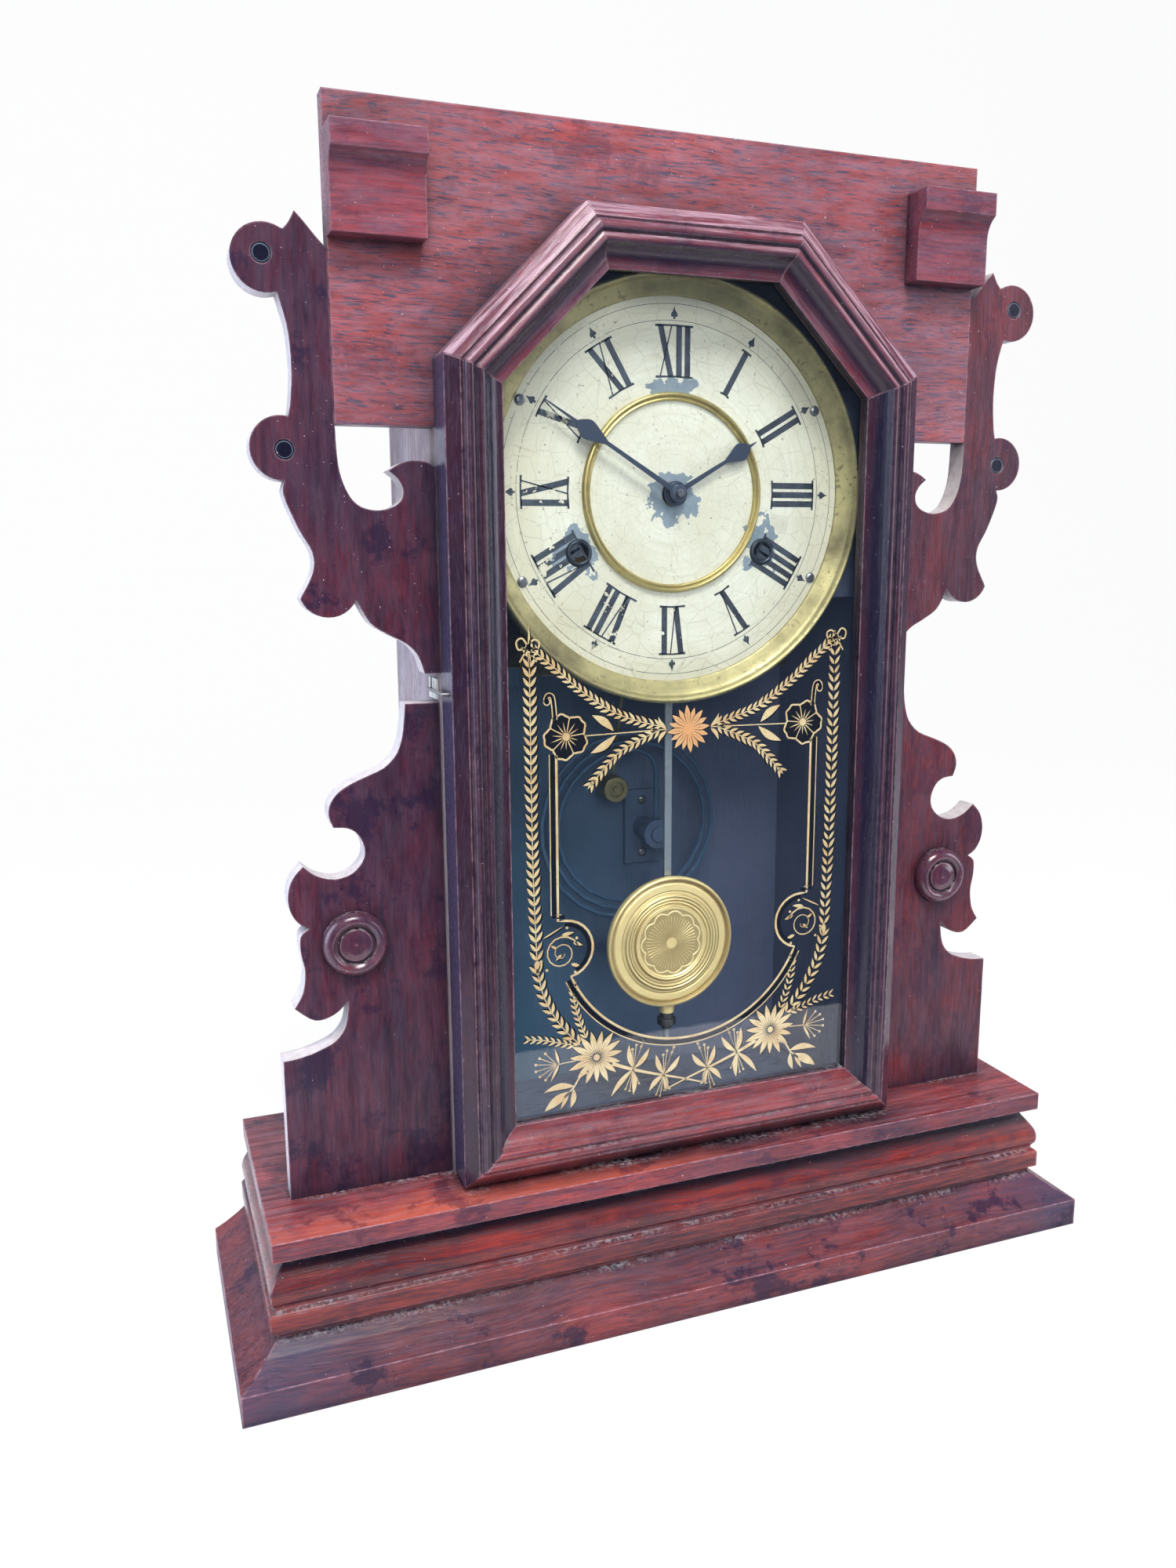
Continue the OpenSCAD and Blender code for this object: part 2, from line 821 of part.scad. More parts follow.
module door_hook() {
    color("#2c2a2e")
        place() {
            hook_wire(hook_x - 1, hook_y, -side_x + 5, hook_pin_r);
            hook_wire(hook_x, hook_end, -side_x - 0.3, hook_tip_r);
            translate([hook_x, hook_y, hook_z])
                rotate([-90, 0, 0])
                    cylinder(h = hook_len + hook_r, r = hook_r);
        }
}

module latch_plate() {
    color("#c9ccc4")
        place()
            difference() {
                translate([-side_x - 0.9, 5.5, hook_z - 3.5])
                    cube([0.9, 12, 8]);
                translate([-side_x - 2, hook_end - 2, hook_z - hook_tip_r - 0.3])
                    cube([3, 2.3 + hook_tip_r, 12]);
                for (y = [7.2, 9.6])
                    translate([-side_x - 2, y, hook_z + 1.2])
                        cube([3, 1, 2.2]);
            }
}

// Dial: a thin zinc disc, two brass rings and the eyelets of the winding holes
module dial_plate() {
    color("#d8d3b4")
        place()
            difference() {
                axle(centre_p, dial_y, dial_y + dial_t, bezel_r - 0.5);
                axle(centre_p, dial_y - 1, dial_y + dial_t + 1, 5);
                for (p = [time_p, strike_p])
                    axle(p, dial_y - 1, dial_y + dial_t + 1, 4.4);
                for (a = dial_screw_turns)
                    axle(centre_p + polar(dial_screw_r, a), dial_y - 1, dial_y + dial_t + 1, 1);
            }
}

module dial_bezel() {
    d = dial_r;
    b = bezel_r;
    color("#b39a4e")
        place()
            turned(centre_p, 0)
                polygon(concat(
                    [[d, dial_y], [d, 6.3]],
                    curve([[d + 0.4, 5.9], [d + 2.6, 5], [d + 5, 4], [d + 6.6, 2.6]], 2),
                    curve([[d + 6.8, 1.6], [d + 7.6, 0.9], [b - 0.5, 1.2], [b, 2.2]], 3),
                    [[b, 2.2], [b, dial_y]]
                ));
}

module dial_inner_ring() {
    r = inner_ring_r;
    color("#bfa654")
        place()
            turned(centre_p, 0)
                polygon(concat(
                    [[r - 1.7, dial_y]],
                    curve([[r - 1.7, 6.4], [r - 1.1, 5.6], [r - 0.3, 6.1], [r + 0.3, 5.2], [r + 1.2, 5.3],
                        [r + 1.7, 6.4]], 2),
                    [[r + 1.7, 6.4], [r + 1.7, dial_y]]
                ));
}

module winding_grommets() {
    color("#8b8d84")
        place()
            for (p = [time_p, strike_p])
                turned(p, 0)
                    polygon([[3.9, dial_y + dial_t + 0.4], [3.9, 6.4], [4.3, 6.1], [5, 6.3], [5.6, dial_y],
                        [4.35, dial_y], [4.35, dial_y + dial_t + 0.4]]);
}

// Movement plates, with a hole for every pivot
module plate_holes(y) {
    for (p = [second_p, third_p, pin_p, fly_p])
        axle(p, y - 1, y + plate_t + 1, pivot_r + fit_gap);
    for (p = pillar_places)
        axle(centre_p + p, y - 1, y + plate_t + 1, 1.5);
}

// The plates are brass strips cut away between the arbors
module plate_shape() {
    difference() {
        translate([-plate_x, plate_low])
            square([2 * plate_x, plate_high - plate_low]);
        mirrored()
            translate([26, dial_z + 24])
                square([22, 20]);
        mirrored()
            translate([24, plate_low + 6])
                square([20, 10]);
        translate([-9, dial_z + 34])
            square([18, 14]);
    }
}

module front_plate() {
    color("#b08d3c")
        place()
            difference() {
                board(front_plate_y, front_plate_y + plate_t)
                    plate_shape();
                plate_holes(front_plate_y);
                axle(centre_p, 19, 23, centre_r + fit_gap);
                axle(escape_p, 19, 23, arbor_r + fit_gap);
                axle(hammer_p, 19, 23, pivot_r + fit_gap);
                axle(time_p, 19, 23, wind_r + fit_gap);
                axle(strike_p, 19, 23, strike_pipe_r + fit_gap);
                axle(verge_p, 19, 23, stud_r);
                axle(minute_p, 19, 23, stud_r);
                axle(post_p, 19, 23, post_r);
            }
}

module back_plate() {
    color("#b08d3c")
        place()
            difference() {
                board(back_plate_y, back_plate_y + plate_t)
                    plate_shape();
                plate_holes(back_plate_y);
                for (p = [centre_p, escape_p, time_p, strike_p])
                    axle(p, 57, 61, pivot_r + fit_gap);
                axle(hammer_p, 57, 61, arbor_r + fit_gap);
                for (p = plate_screw_places)
                    axle(centre_p + p, 57, 61, 1);
            }
}

module plate_pillars() {
    color("#9c9584")
        place()
            for (p = pillar_places) {
                axle(centre_p + p, front_plate_y + plate_t, back_plate_y, pillar_r);
                axle(centre_p + p, front_plate_y - 2.4, front_plate_y + plate_t + 1, 1.5);
                axle(centre_p + p, back_plate_y - 1, back_plate_y + plate_t, 1.5);
                translate([0, front_plate_y, 0])
                    rotate([90, 0, 0])
                        translate([p[0], dial_z + p[1], 0])
                            cylinder(h = 2, r = 3.4, $fn = 6);
            }
}

// Mainsprings: flat steel wound from a collet outward, each with a tail to a lower pillar
spring_turns = 5;
spring_in = 6;
spring_out = 22.5;
spring_t = 0.5;
tail_sweep = 50;
spring_sweep = 360 * spring_turns;
spring_p = [wind_x, wind_z - dial_z];
spring_aim = bearing(spring_p, pillar_low);
tail_rise = norm(pillar_low - spring_p) - pillar_r - fit_gap - spring_t - spring_out;
function tail_r(a) = tail_rise * pow(max(0, (a - spring_sweep + tail_sweep) / tail_sweep), 2);
function spring_r(a) = spring_in + (spring_out - spring_in) * a / spring_sweep + tail_r(a);
spring_angles = [for (a = [0 : 15 : spring_sweep - tail_sweep - 10]) a];
tail_angles = [for (a = [spring_sweep - tail_sweep : 5 : spring_sweep]) a];
spring_steps = concat(spring_angles, tail_angles);

module mainsprings() {
    color("#5c6470")
        place()
            for (s = [-1, 1])
                translate([s * wind_x, 0, wind_z])
                    scale([s, 1, 1])
                        board(28, 46)
                            polygon(concat(
                                [for (a = spring_steps) polar(spring_r(a), spring_aim + a)],
                                [for (i = [len(spring_steps) - 1 : -1 : 0])
                                    polar(spring_r(spring_steps[i]) + spring_t, spring_aim + spring_steps[i])]
                            ));
}

// Toothed outline with pointed clock teeth; wide is the share of the pitch that a tooth takes
function tooth_ring(n, m, up, down, wide, turn) =
    let (r = n * m / 2, w = wide * 180 / n)
    [for (k = [0 : n - 1]) for (c = [[-down, -1.25], [0, -1], [up * 0.6, -0.75], [up, -0.3], [up, 0.3],
        [up * 0.6, 0.75], [0, 1], [-down, 1.25]])
        polar(r + c[0] * m, turn + k * 360 / n + c[1] * w)];

module tooth_shape(n, m, turn, up = 0.85, wide = 0.42) {
    polygon(tooth_ring(n, m, up, 1.2, wide, turn));
}

module wheel_shape(n, m, turn, bore, hub, spokes = 4, wide = 0.42) {
    r = n * m / 2 - 1.2 * m;
    rim = max(1.4, r * 0.09);
    difference() {
        tooth_shape(n, m, turn, wide = wide);
        difference() {
            circle(r - rim);
            circle(hub);
            for (k = [0 : spokes - 1])
                rotate(turn + k * 360 / spokes)
                    translate([0, -rim * 0.7])
                        square([r, rim * 1.4]);
        }
        circle(bore);
    }
}

module wheel(p, y, t, n, m, turn, bore, hub, spokes = 4) {
    translate([p[0], 0, p[1]])
        board(y, y + t)
            wheel_shape(n, m, turn, bore, hub, spokes);
}

// Cut pinion with straight leaves
module pinion(p, y0, y1, n, m, turn, bore = 0) {
    translate([p[0], 0, p[1]])
        board(y0, y1)
            difference() {
                tooth_shape(n, m, turn, up = 0.7, wide = 0.36);
                if (bore > 0)
                    circle(bore);
            }
}

// Lantern pinion: wires between two end discs
module lantern(p, y0, y1, n, m, turn) {
    r = n * m / 2;
    for (y = [y0 - 1, y1])
        axle(p, y, y + 1, r + m * 0.75);
    for (k = [0 : n - 1])
        axle(p + polar(r, turn + k * 360 / n), y0 - tiny, y1 + tiny, m * 0.5);
    axle(p, y0 - 1, y1 + 1, r - m * 1.35);
}

module arbor(p, r = arbor_r) {
    axle(p, front_plate_y + plate_t + shake, back_plate_y - shake, r);
}

module pivots(p) {
    axle(p, front_plate_y + 0.1, back_plate_y + plate_t - 0.1, pivot_r);
}

// Motion work behind the dial
module minute_arbor() {
    color("#9ea1a3")
        place() {
            axle(centre_p, 3, back_plate_y - shake, centre_r);
            axle(centre_p, -0.8, 4, 1.5);
            axle(centre_p, 50, back_plate_y + plate_t - 0.1, pivot_r);
            pinion(centre_p, 16.6, 19.4, motion_pinion_n, motion_m1, 0);
        }
}

module hour_wheel() {
    color("#b3913f")
        place() {
            wheel(centre_p, 12.4, 1.4, hour_n, motion_m2, hour_turn, centre_r + fit_gap, 5.5);
            turned(centre_p, 3.4)
                translate([centre_r + fit_gap, 0])
                    square([pipe_r - centre_r - fit_gap, 10.4]);
        }
}

module minute_wheel() {
    color("#b3913f")
        place()
            difference() {
                union() {
                    wheel(minute_p, 16.8, 1.4, minute_n, motion_m1, minute_turn, 0.9, 3.4);
                    pinion(minute_p, 11.9, 16.9, minute_pinion_n, motion_m2, 0);
                }
                axle(minute_p, 10, 20, 1 + fit_gap);
            }
}

hour_angle = 30;
minute_angle = 148.5;

// Hands: a slim stem, a leaf-shaped swelling and a long point
function leaf_side(r0, r1, w) = curve([[r0, 0.75], [r0 + (r1 - r0) * 0.25, w * 0.55],
    [r0 + (r1 - r0) * 0.62, w], [r0 + (r1 - r0) * 0.85, w * 0.62], [r1, 0.6]], 4);
function hand_side(len, r0, r1, w) = concat([[2, 1.1]], leaf_side(r0, r1, w), [[r1, 0.6], [len, 0.15]]);

module hand_shape(len, r0, r1, w, hub, bore) {
    side = hand_side(len, r0, r1, w);
    difference() {
        union() {
            polygon(concat(side, [for (i = [len(side) - 1 : -1 : 0]) [side[i][0], -side[i][1]]]));
            circle(hub);
        }
        circle(bore);
    }
}

module hand(y, angle) {
    translate([0, 0, dial_z])
        board(y, y + hand_t)
            rotate(angle)
                children();
}

module minute_hand() {
    color("#343b49")
        place() {
            hand(minute_y, minute_angle)
                hand_shape(minute_len, 36, 51, 3.9, 3.4, 1.55);
            turned(centre_p, 0.7)
                polygon([[1.55, 0.2], [3, 0.5], [3.3, 1.2], [1.55, 1.2]]);
        }
}

module hour_hand() {
    color("#3a4456")
        place()
            difference() {
                union() {
                    hand(hour_y, hour_angle)
                        hand_shape(hour_len, 26, 38.5, 3.6, 5, pipe_r + fit_gap);
                    turned(centre_p, hour_y - 0.6)
                        translate([pipe_r + fit_gap, 0])
                            square([1.2, 2.4]);
                }
                axle(centre_p, 0, 10, pipe_r + fit_gap);
            }
}

// Winding arbors, squared in front for the key, with a ratchet wheel
module winding_arbor(p) {
    axle(p, 12, 47.6, wind_r);
    axle(p, 47, back_plate_y - shake, wind_r);
    axle(p, 50, back_plate_y + plate_t - 0.1, pivot_r);
    translate([p[0] - 1.5, 8.6, p[1] - 1.5])
        cube([3, 4, 3]);
    axle(p, 27.4, 46.6, spring_in - 0.6);
    translate([p[0], 0, p[1]])
        board(25.6, 27.2)
            polygon([for (k = [0 : 17]) for (c = [[8, 0], [9.6, 17], [8.2, 18.5]]) polar(c[0], k * 20 + c[1])]);
}

module time_winding_arbor() {
    color("#8f9496")
        place()
            winding_arbor(time_p);
}

module strike_winding_arbor() {
    color("#8f9496")
        place()
            winding_arbor(strike_p);
}

// Great wheels run on the winding arbors and carry the click
module great_wheel(p, n) {
    wheel(p, 23, 1.6, n, great_m, 0, wind_r + fit_gap, 8, 5);
    translate([p[0], 0, p[1]])
        board(24.4, 27)
            translate([10.6, -2])
                square([7, 4]);
}

module time_great_wheel() {
    color("#b59242")
        place()
            great_wheel(time_p, great_n);
}

module second_wheel() {
    color("#b59242")
        place() {
            wheel(second_p, 48, 1.3, second_n, second_m, 0, 0, 3.4);
            lantern(second_p, 22.7, 25, lantern_n, great_m, second_pinion_turn);
            arbor(second_p);
            pivots(second_p);
        }
}

module centre_wheel() {
    color("#b59242")
        place() {
            difference() {
                union() {
                    wheel(centre_p, 40, 1.3, centre_n, centre_m, 0, centre_r + fit_gap, 4);
                    pinion(centre_p, 47.2, 50, centre_pinion_n, second_m, centre_pinion_turn);
                    axle(centre_p, 40, 47.4, 2.8);
                }
                axle(centre_p, 38, 52, centre_r + fit_gap);
            }
        }
}

module third_wheel() {
    color("#b59242")
        place() {
            wheel(third_p, 53.4, 1.2, third_n, third_m, 0, 0, 2.6);
            pinion(third_p, 39, 42.4, third_pinion_n, centre_m, third_pinion_turn);
            arbor(third_p, 1);
            pivots(third_p);
        }
}

module escape_wheel() {
    color("#c0a050")
        place() {
            translate([escape_p[0], 0, escape_p[1]])
                board(16.4, 17.4)
                    difference() {
                        polygon([for (k = [0 : escape_n - 1]) for (c = [[-1.8, 0], [0, 3.4], [0, 4], [-1.8, 4.8]])
                            polar(escape_r + c[0], 90 + k * 360 / escape_n + c[1])]);
                        difference() {
                            circle(escape_r - 3.4);
                            circle(2.6);
                            for (k = [0 : 3])
                                rotate(45 + k * 90)
                                    translate([0, -0.8])
                                        square([escape_r - 3, 1.6]);
                        }
                    }
            pinion(escape_p, 52.6, 55.6, escape_pinion_n, third_m, escape_pinion_turn);
            axle(escape_p, 16.2, 22.4, arbor_r);
            axle(escape_p, 22, back_plate_y - shake, 0.9);
            axle(escape_p, 50, back_plate_y + plate_t - 0.1, pivot_r);
        }
}

// Strike train: great wheel, wheel with lifting pins, count wheel and fly
module strike_great_wheel() {
    color("#b59242")
        place() {
            great_wheel(strike_p, strike_n);
            turned(strike_p, 15.6)
                translate([wind_r + fit_gap, 0])
                    square([strike_pipe_r - wind_r - fit_gap, 8]);
        }
}

module pin_wheel() {
    color("#b59242")
        place() {
            wheel(pin_p, 48, 1.3, pin_n, pin_m, 0, 0, 3.4);
            for (k = [0 : 9])
                axle(pin_p + polar(10.7, k * 36), 49, 52, 0.6);
            lantern(pin_p, 22.7, 25, lantern_n, great_m, pin_pinion_turn);
            arbor(pin_p);
            pivots(pin_p);
        }
}

// Count wheel, fixed on the great wheel's pipe: slots spaced for the strokes of the hours
function strokes(h) = h == 0 ? 0 : strokes(h - 1) + h + 1;

module count_wheel() {
    color("#b59242")
        place()
            translate([strike_p[0], 0, strike_p[1]])
                board(16, 17)
                    difference() {
                        circle(17);
                        circle(strike_pipe_r + tiny);
                        for (h = [0 : 11])
                            rotate(strokes(h) * 360 / 90)
                                translate([15, -0.7])
                                    square([3, 1.4]);
                        for (k = [0 : 3])
                            rotate(k * 90 + 20)
                                translate([9.6, 0])
                                    circle(3.6);
                    }
}

module fly() {
    color("#c7ab5c")
        place() {
            pinion(fly_p, 47.2, 50, fly_pinion_n, pin_m, fly_pinion_turn);
            translate([fly_p[0] - 7, 27, fly_p[1] - 0.3])
                cube([14, 14, 0.6]);
            arbor(fly_p, 1);
            pivots(fly_p);
        }
}

// Escapement and pendulum hang from one axis below the centre of the dial
post_p = verge_p + [0, 4.3];
spring_strip = 0.3;

module front_posts() {
    color("#b08d3c")
        place() {
            axle(post_p, 8.4, front_plate_y + plate_t, post_r);
            translate([-spring_strip / 2, 9, verge_p[1] + 0.4])
                cube([spring_strip, 3, 4]);
            axle(verge_p, 14.2, front_plate_y + plate_t, stud_r);
            axle(minute_p, 11, front_plate_y + plate_t, stud_r);
        }
}

module verge() {
    reach_x = 11.2;
    color("#8e9499")
        place() {
            turned(verge_p, 14.4)
                translate([1 + fit_gap, 0])
                    square([1.5, 4.2]);
            board(16.3, 17.5)
                difference() {
                    polygon([
                        [-reach_x - 0.8, verge_p[1] - 9.6], [-reach_x + 0.2, verge_p[1] - 10.2],
                        [-reach_x + 2.2, verge_p[1] - 3.4], [0, verge_p[1] - 1.2],
                        [reach_x - 2.2, verge_p[1] - 3.4], [reach_x - 0.2, verge_p[1] - 10.2],
                        [reach_x + 0.8, verge_p[1] - 9.6], [reach_x - 0.6, verge_p[1] - 2],
                        [0, verge_p[1] + 1.6], [-reach_x + 0.6, verge_p[1] - 2]
                    ]);
                    translate(verge_p)
                        circle(1 + fit_gap);
                }
            translate([0, 15.3, verge_p[1] - 1.8])
                rotate([180, 0, 0])
                    cylinder(h = 26.2, r = 0.6);
            axle([0, verge_p[1] - 28], 12.6, 16.1, 0.75);
            difference() {
                translate([-2.9, 8.6, verge_p[1] - 28.6])
                    cube([5.8, 4.2, 1.2]);
                translate([-2, 9.5, verge_p[1] - 29])
                    cube([4, 2, 2]);
            }
        }
}

module pendulum_rod() {
    color("#9aa7ad")
        place()
            union() {
                translate([-spring_strip / 2, 9, verge_p[1] - 9])
                    cube([spring_strip, 3, 9.2]);
                translate([-rod_w / 2, rod_y - rod_t / 2, thread_top])
                    cube([rod_w, rod_t, verge_p[1] - 7 - thread_top]);
                translate([0, rod_y, nut_z - 7])
                    cylinder(h = thread_top - nut_z + 8, r = thread_r);
            }
}

// Bob: a brass shell with a rolled rim, concentric rings and a slightly domed centre
module pendulum_bob() {
    r = bob_r;
    color("#c2a860")
        place()
            difference() {
                union() {
                    turned([0, bob_z], rod_y - bob_t / 2 - 1)
                        polygon(concat(
                            [[0, bob_t], [0, 1.4], [r * 0.2, 1.4], [r * 0.5, 1.9], [r * 0.52, 1.3],
                                [r * 0.57, 1.3], [r * 0.59, 2.1], [r * 0.66, 1.4], [r * 0.73, 1.6],
                                [r * 0.75, 2.4]],
                            curve([[r * 0.8, 1.9], [r * 0.88, 2.2], [r * 0.93, 3], [r * 0.95, 1.6],
                                [r * 0.985, 1.8], [r, 3]], 2),
                            [[r, 3], [r * 0.985, 5], [r * 0.9, 7.4], [r * 0.7, 9.4], [r * 0.4, bob_t - 0.4],
                                [r * 0.2, bob_t]]
                        ));
                    translate([0, rod_y, nut_z + nut_h + 0.1])
                        cylinder(h = bob_z - bob_r * 0.9 - nut_z - nut_h, r = 3.4);
                }
                translate([-rod_w / 2 - 0.3, rod_y - 1.7, nut_z + nut_h - 1])
                    cube([rod_w + 0.6, 3.4, 2 * bob_r + 20]);
            }
}

module rating_nut() {
    color("#b59a52")
        place()
            difference() {
                translate([0, rod_y, nut_z])
                    rotate_extrude()
                        polygon([[0, 0], [2.4, 0], [2.4, 1.4], [4.2, 2], [4.2, 4.6], [2.8, 5.2],
                            [2.8, nut_h], [0, nut_h]]);
                translate([0, rod_y, nut_z - 1])
                    cylinder(h = 10, r = thread_r + fit_gap);
            }
}

// Gong: a round wire leaves its block, turns and winds outward in one flat coil
module gong_base() {
    color("#3a3d42")
        place()
            difference() {
                union() {
                    translate([gong_hub[0] - 9, case_d - 3, gong_hub[1] - 18])
                        cube([18, 3, 36]);
                    axle(gong_hub, gong_y, case_d - 2, 5);
                    axle(gong_hub, gong_y - 3.5, gong_y + 3, 7);
                    axle(gong_hub, gong_y - 5, gong_y - 3, 3.6);
                }
                translate([gong_hub[0], gong_y, gong_hub[1] + 3])
                    cylinder(h = 9, r = gong_wire + fit_gap);
                for (p = gong_screw_places)
                    axle(p, case_d - 5, case_d + 1, 1);
            }
}

gong_rings = 24;
gong_sides = 6;
riser_top = gong_p[1] + sqrt(pow(gong_r, 2) - pow(gong_hub[0] - gong_p[0], 2));
gong_start = atan2(riser_top - gong_p[1], gong_hub[0] - gong_p[0]);
function coil_point(a) = gong_p + polar(gong_r + gong_pitch * (a / 360), gong_start + a);
function corner_point(t) =
    let (a = [gong_hub[0], riser_top - 9], b = [gong_hub[0], riser_top], c = coil_point(16))
    (1 - t) * (1 - t) * a + 2 * t * (1 - t) * b + t * t * c;
gong_path = concat(
    [[gong_hub[0], gong_hub[1] + 3.5]],
    [for (t = [0 : 0.2 : 0.99]) corner_point(t)],
    [for (k = [0 : gong_rings * gong_turns]) coil_point(16 + k * 360 / gong_rings)]
);
function path_turn(k) = bearing(gong_path[max(0, k - 1)], gong_path[min(len(gong_path) - 1, k + 1)]);
function ring_corner(k, j) =
    let (a = path_turn(k) + 90, u = gong_wire * cos(60 * j), v = gong_wire * sin(60 * j))
    [gong_path[k][0] + u * cos(a), gong_y + v, gong_path[k][1] + u * sin(a)];
gong_count = len(gong_path);

module gong_coil() {
    points = [for (k = [0 : gong_count - 1]) for (j = [0 : gong_sides - 1]) ring_corner(k, j)];
    faces = concat(
        [[for (j = [gong_sides - 1 : -1 : 0]) j]],
        [for (k = [0 : gong_count - 2]) for (j = [0 : gong_sides - 1])
            let (a = k * gong_sides + j, b = k * gong_sides + (j + 1) % gong_sides)
            [a, b, b + gong_sides, a + gong_sides]],
        [[for (j = [0 : gong_sides - 1]) (gong_count - 1) * gong_sides + j]]
    );
    color("#6b7480")
        place()
            polyhedron(points, faces);
}

echo(gong_gap_mm = gong_pitch - 2 * gong_wire);

module hammer() {
    down = hammer_head - hammer_p;
    lean = atan2(down[0], -down[1]);
    color("#9b8f66")
        place() {
            axle(hammer_p, front_plate_y + plate_t + shake, hammer_y + 1.5, arbor_r);
            axle(hammer_p, front_plate_y + 0.1, 30, pivot_r);
            axle(hammer_p, hammer_y - 2, hammer_y + 2, 2);
            translate([hammer_p[0], hammer_y, hammer_p[1]])
                rotate([0, 180 - lean, 0])
                    cylinder(h = norm(down) - 2, r = 0.8);
            turned(hammer_head, hammer_y - 6)
                polygon([[0, 0.4], [1.2, 0.4], [1.4, 1.2], [3.4, 1.2], [3.7, 0], [hammer_head_r - 0.5, 0],
                    [hammer_head_r, 0.8], [hammer_head_r, 8.4], [hammer_head_r - 0.6, 9], [0, 9]]);
            translate([hammer_p[0], 50.5, hammer_p[1]])
                rotate([0, -60, 0])
                    cylinder(h = 13, r = 0.8);
        }
}

base_skirt();
base_moulding();
base_top_board();
base_back_rail();
case_side_left();
case_side_right();
case_top();
backboard();
case_blocks();
crest_board();
corbels();
upper_scroll_left();
upper_scroll_right();
lower_scroll_left();
lower_scroll_right();
roundels();
door_stile_left();
door_stile_right();
door_slants();
door_rail_top();
door_rail_bottom();
door_glass();
glass_beads();
hinge_door_leaves();
hinge_case_leaves();
door_hook();
latch_plate();
dial_plate();
dial_bezel();
dial_inner_ring();
winding_grommets();
wood_screws();
front_plate();
back_plate();
plate_pillars();
mainsprings();
front_posts();
gong_base();
gong_coil();
minute_arbor();
minute_hand();
hour_wheel();
hour_hand();
minute_wheel();
time_winding_arbor();
strike_winding_arbor();
time_great_wheel();
second_wheel();
centre_wheel();
third_wheel();
escape_wheel();
strike_great_wheel();
pin_wheel();
count_wheel();
fly();
verge();
pendulum_rod();
pendulum_bob();
rating_nut();
hammer();
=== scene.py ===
import math

import bpy
import bmesh
from mathutils import Matrix, Vector


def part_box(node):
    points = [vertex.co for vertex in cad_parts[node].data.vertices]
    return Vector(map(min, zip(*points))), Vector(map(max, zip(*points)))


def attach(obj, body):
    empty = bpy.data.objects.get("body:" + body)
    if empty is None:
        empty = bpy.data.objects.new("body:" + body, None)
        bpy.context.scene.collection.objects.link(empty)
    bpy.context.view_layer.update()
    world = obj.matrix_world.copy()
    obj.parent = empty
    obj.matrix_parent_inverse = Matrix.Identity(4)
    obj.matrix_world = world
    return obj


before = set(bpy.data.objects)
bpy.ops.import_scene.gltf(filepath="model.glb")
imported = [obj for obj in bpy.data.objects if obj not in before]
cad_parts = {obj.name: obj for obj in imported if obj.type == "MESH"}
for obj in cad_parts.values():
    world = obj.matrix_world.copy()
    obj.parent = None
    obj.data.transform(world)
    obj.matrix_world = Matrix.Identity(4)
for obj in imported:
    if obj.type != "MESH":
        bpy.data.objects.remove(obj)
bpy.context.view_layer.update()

# Base of the case: a hollow plinth of walnut, a heavy ogee skirt with a moulding on it and a flat
# board on top. Skirt and moulding are run in lengths, mitred at the two front corners and glued to
# the board; a plain rail closes the back. Stained red-brown under old shellac, rubbed along its arrises,
# with a painted highlight laid along them.
case_front = 0.0235
door_shoulder = 0.35


def spot(x, y, z):
    """A place in millimetres, with y from the front edge of the carcase, as metres of the frame."""
    return Vector((x / 1000, y / 1000 - case_front, z / 1000))


def stain(red, green, blue):
    """A colour of 0 to 255, as it looks on a screen, for a shader."""
    tones = []
    for tone in (red, green, blue):
        tone = tone / 255
        tones.append(tone / 12.92 if tone <= 0.04045 else ((tone + 0.055) / 1.055) ** 2.4)
    return (*tones, 1.0)


def feed(node, links):
    """A node with each named input set to a value or joined to another node's output."""
    for name, value in links.items():
        if isinstance(value, bpy.types.NodeSocket):
            node.id_data.links.new(value, node.inputs[name])
        else:
            node.inputs[name].default_value = value
    return node


def put(tree, kind, links=None, **settings):
    """One new node with its settings and inputs."""
    made = tree.nodes.new(kind)
    for name, value in settings.items():
        setattr(made, name, value)
    return feed(made, links or {})


def add(kind, links, **settings):
    """One new node in the tree that its inputs come from."""
    joined_to = [value for value in links.values() if isinstance(value, bpy.types.NodeSocket)]
    return put(joined_to[0].id_data, kind, links, **settings)


def reckon(work, a, b=0.0, c=0.0):
    """The result of one sum on two or three values."""
    return add("ShaderNodeMath", {0: a, 1: b, 2: c}, operation=work).outputs[0]


def times(a, b):
    """Two values multiplied."""
    return reckon("MULTIPLY", a, b)


def plus(a, b):
    """Two values added."""
    return reckon("ADD", a, b)


def less(a, b):
    """The first value less the second."""
    return reckon("SUBTRACT", a, b)


def larger(a, b):
    """The larger of two values."""
    return reckon("MAXIMUM", a, b)


def unsigned(a):
    """A value without its sign."""
    return reckon("ABSOLUTE", a)


def scaled(a, b, c):
    """Two values multiplied, and a third added."""
    return reckon("MULTIPLY_ADD", a, b, c)


def from_middle(a, b):
    """How far a point is from the middle, by its two sides."""
    return reckon("SQRT", plus(times(a, a), times(b, b)))


def axes_of(vector):
    """The three values of a vector."""
    return add("ShaderNodeSeparateXYZ", {0: vector}).outputs


def vectors(work, a, b=(0.0, 0.0, 0.0)):
    """The outputs of one sum on vectors: a vector first, then a value."""
    return add("ShaderNodeVectorMath", {0: a, 1: b}, operation=work).outputs


def between(value, low, high, at_low=0.0, at_high=1.0):
    """The value's place between low and high, held at both ends."""
    links = {"Value": value, "From Min": low, "From Max": high, "To Min": at_low, "To Max": at_high}
    return add("ShaderNodeMapRange", links).outputs[0]


def mix(share, a, b, way="MIX"):
    """Two colours mixed by a share from 0 to 1."""
    return add("ShaderNodeMix", {0: share, 6: a, 7: b}, data_type="RGBA", blend_type=way).outputs[2]


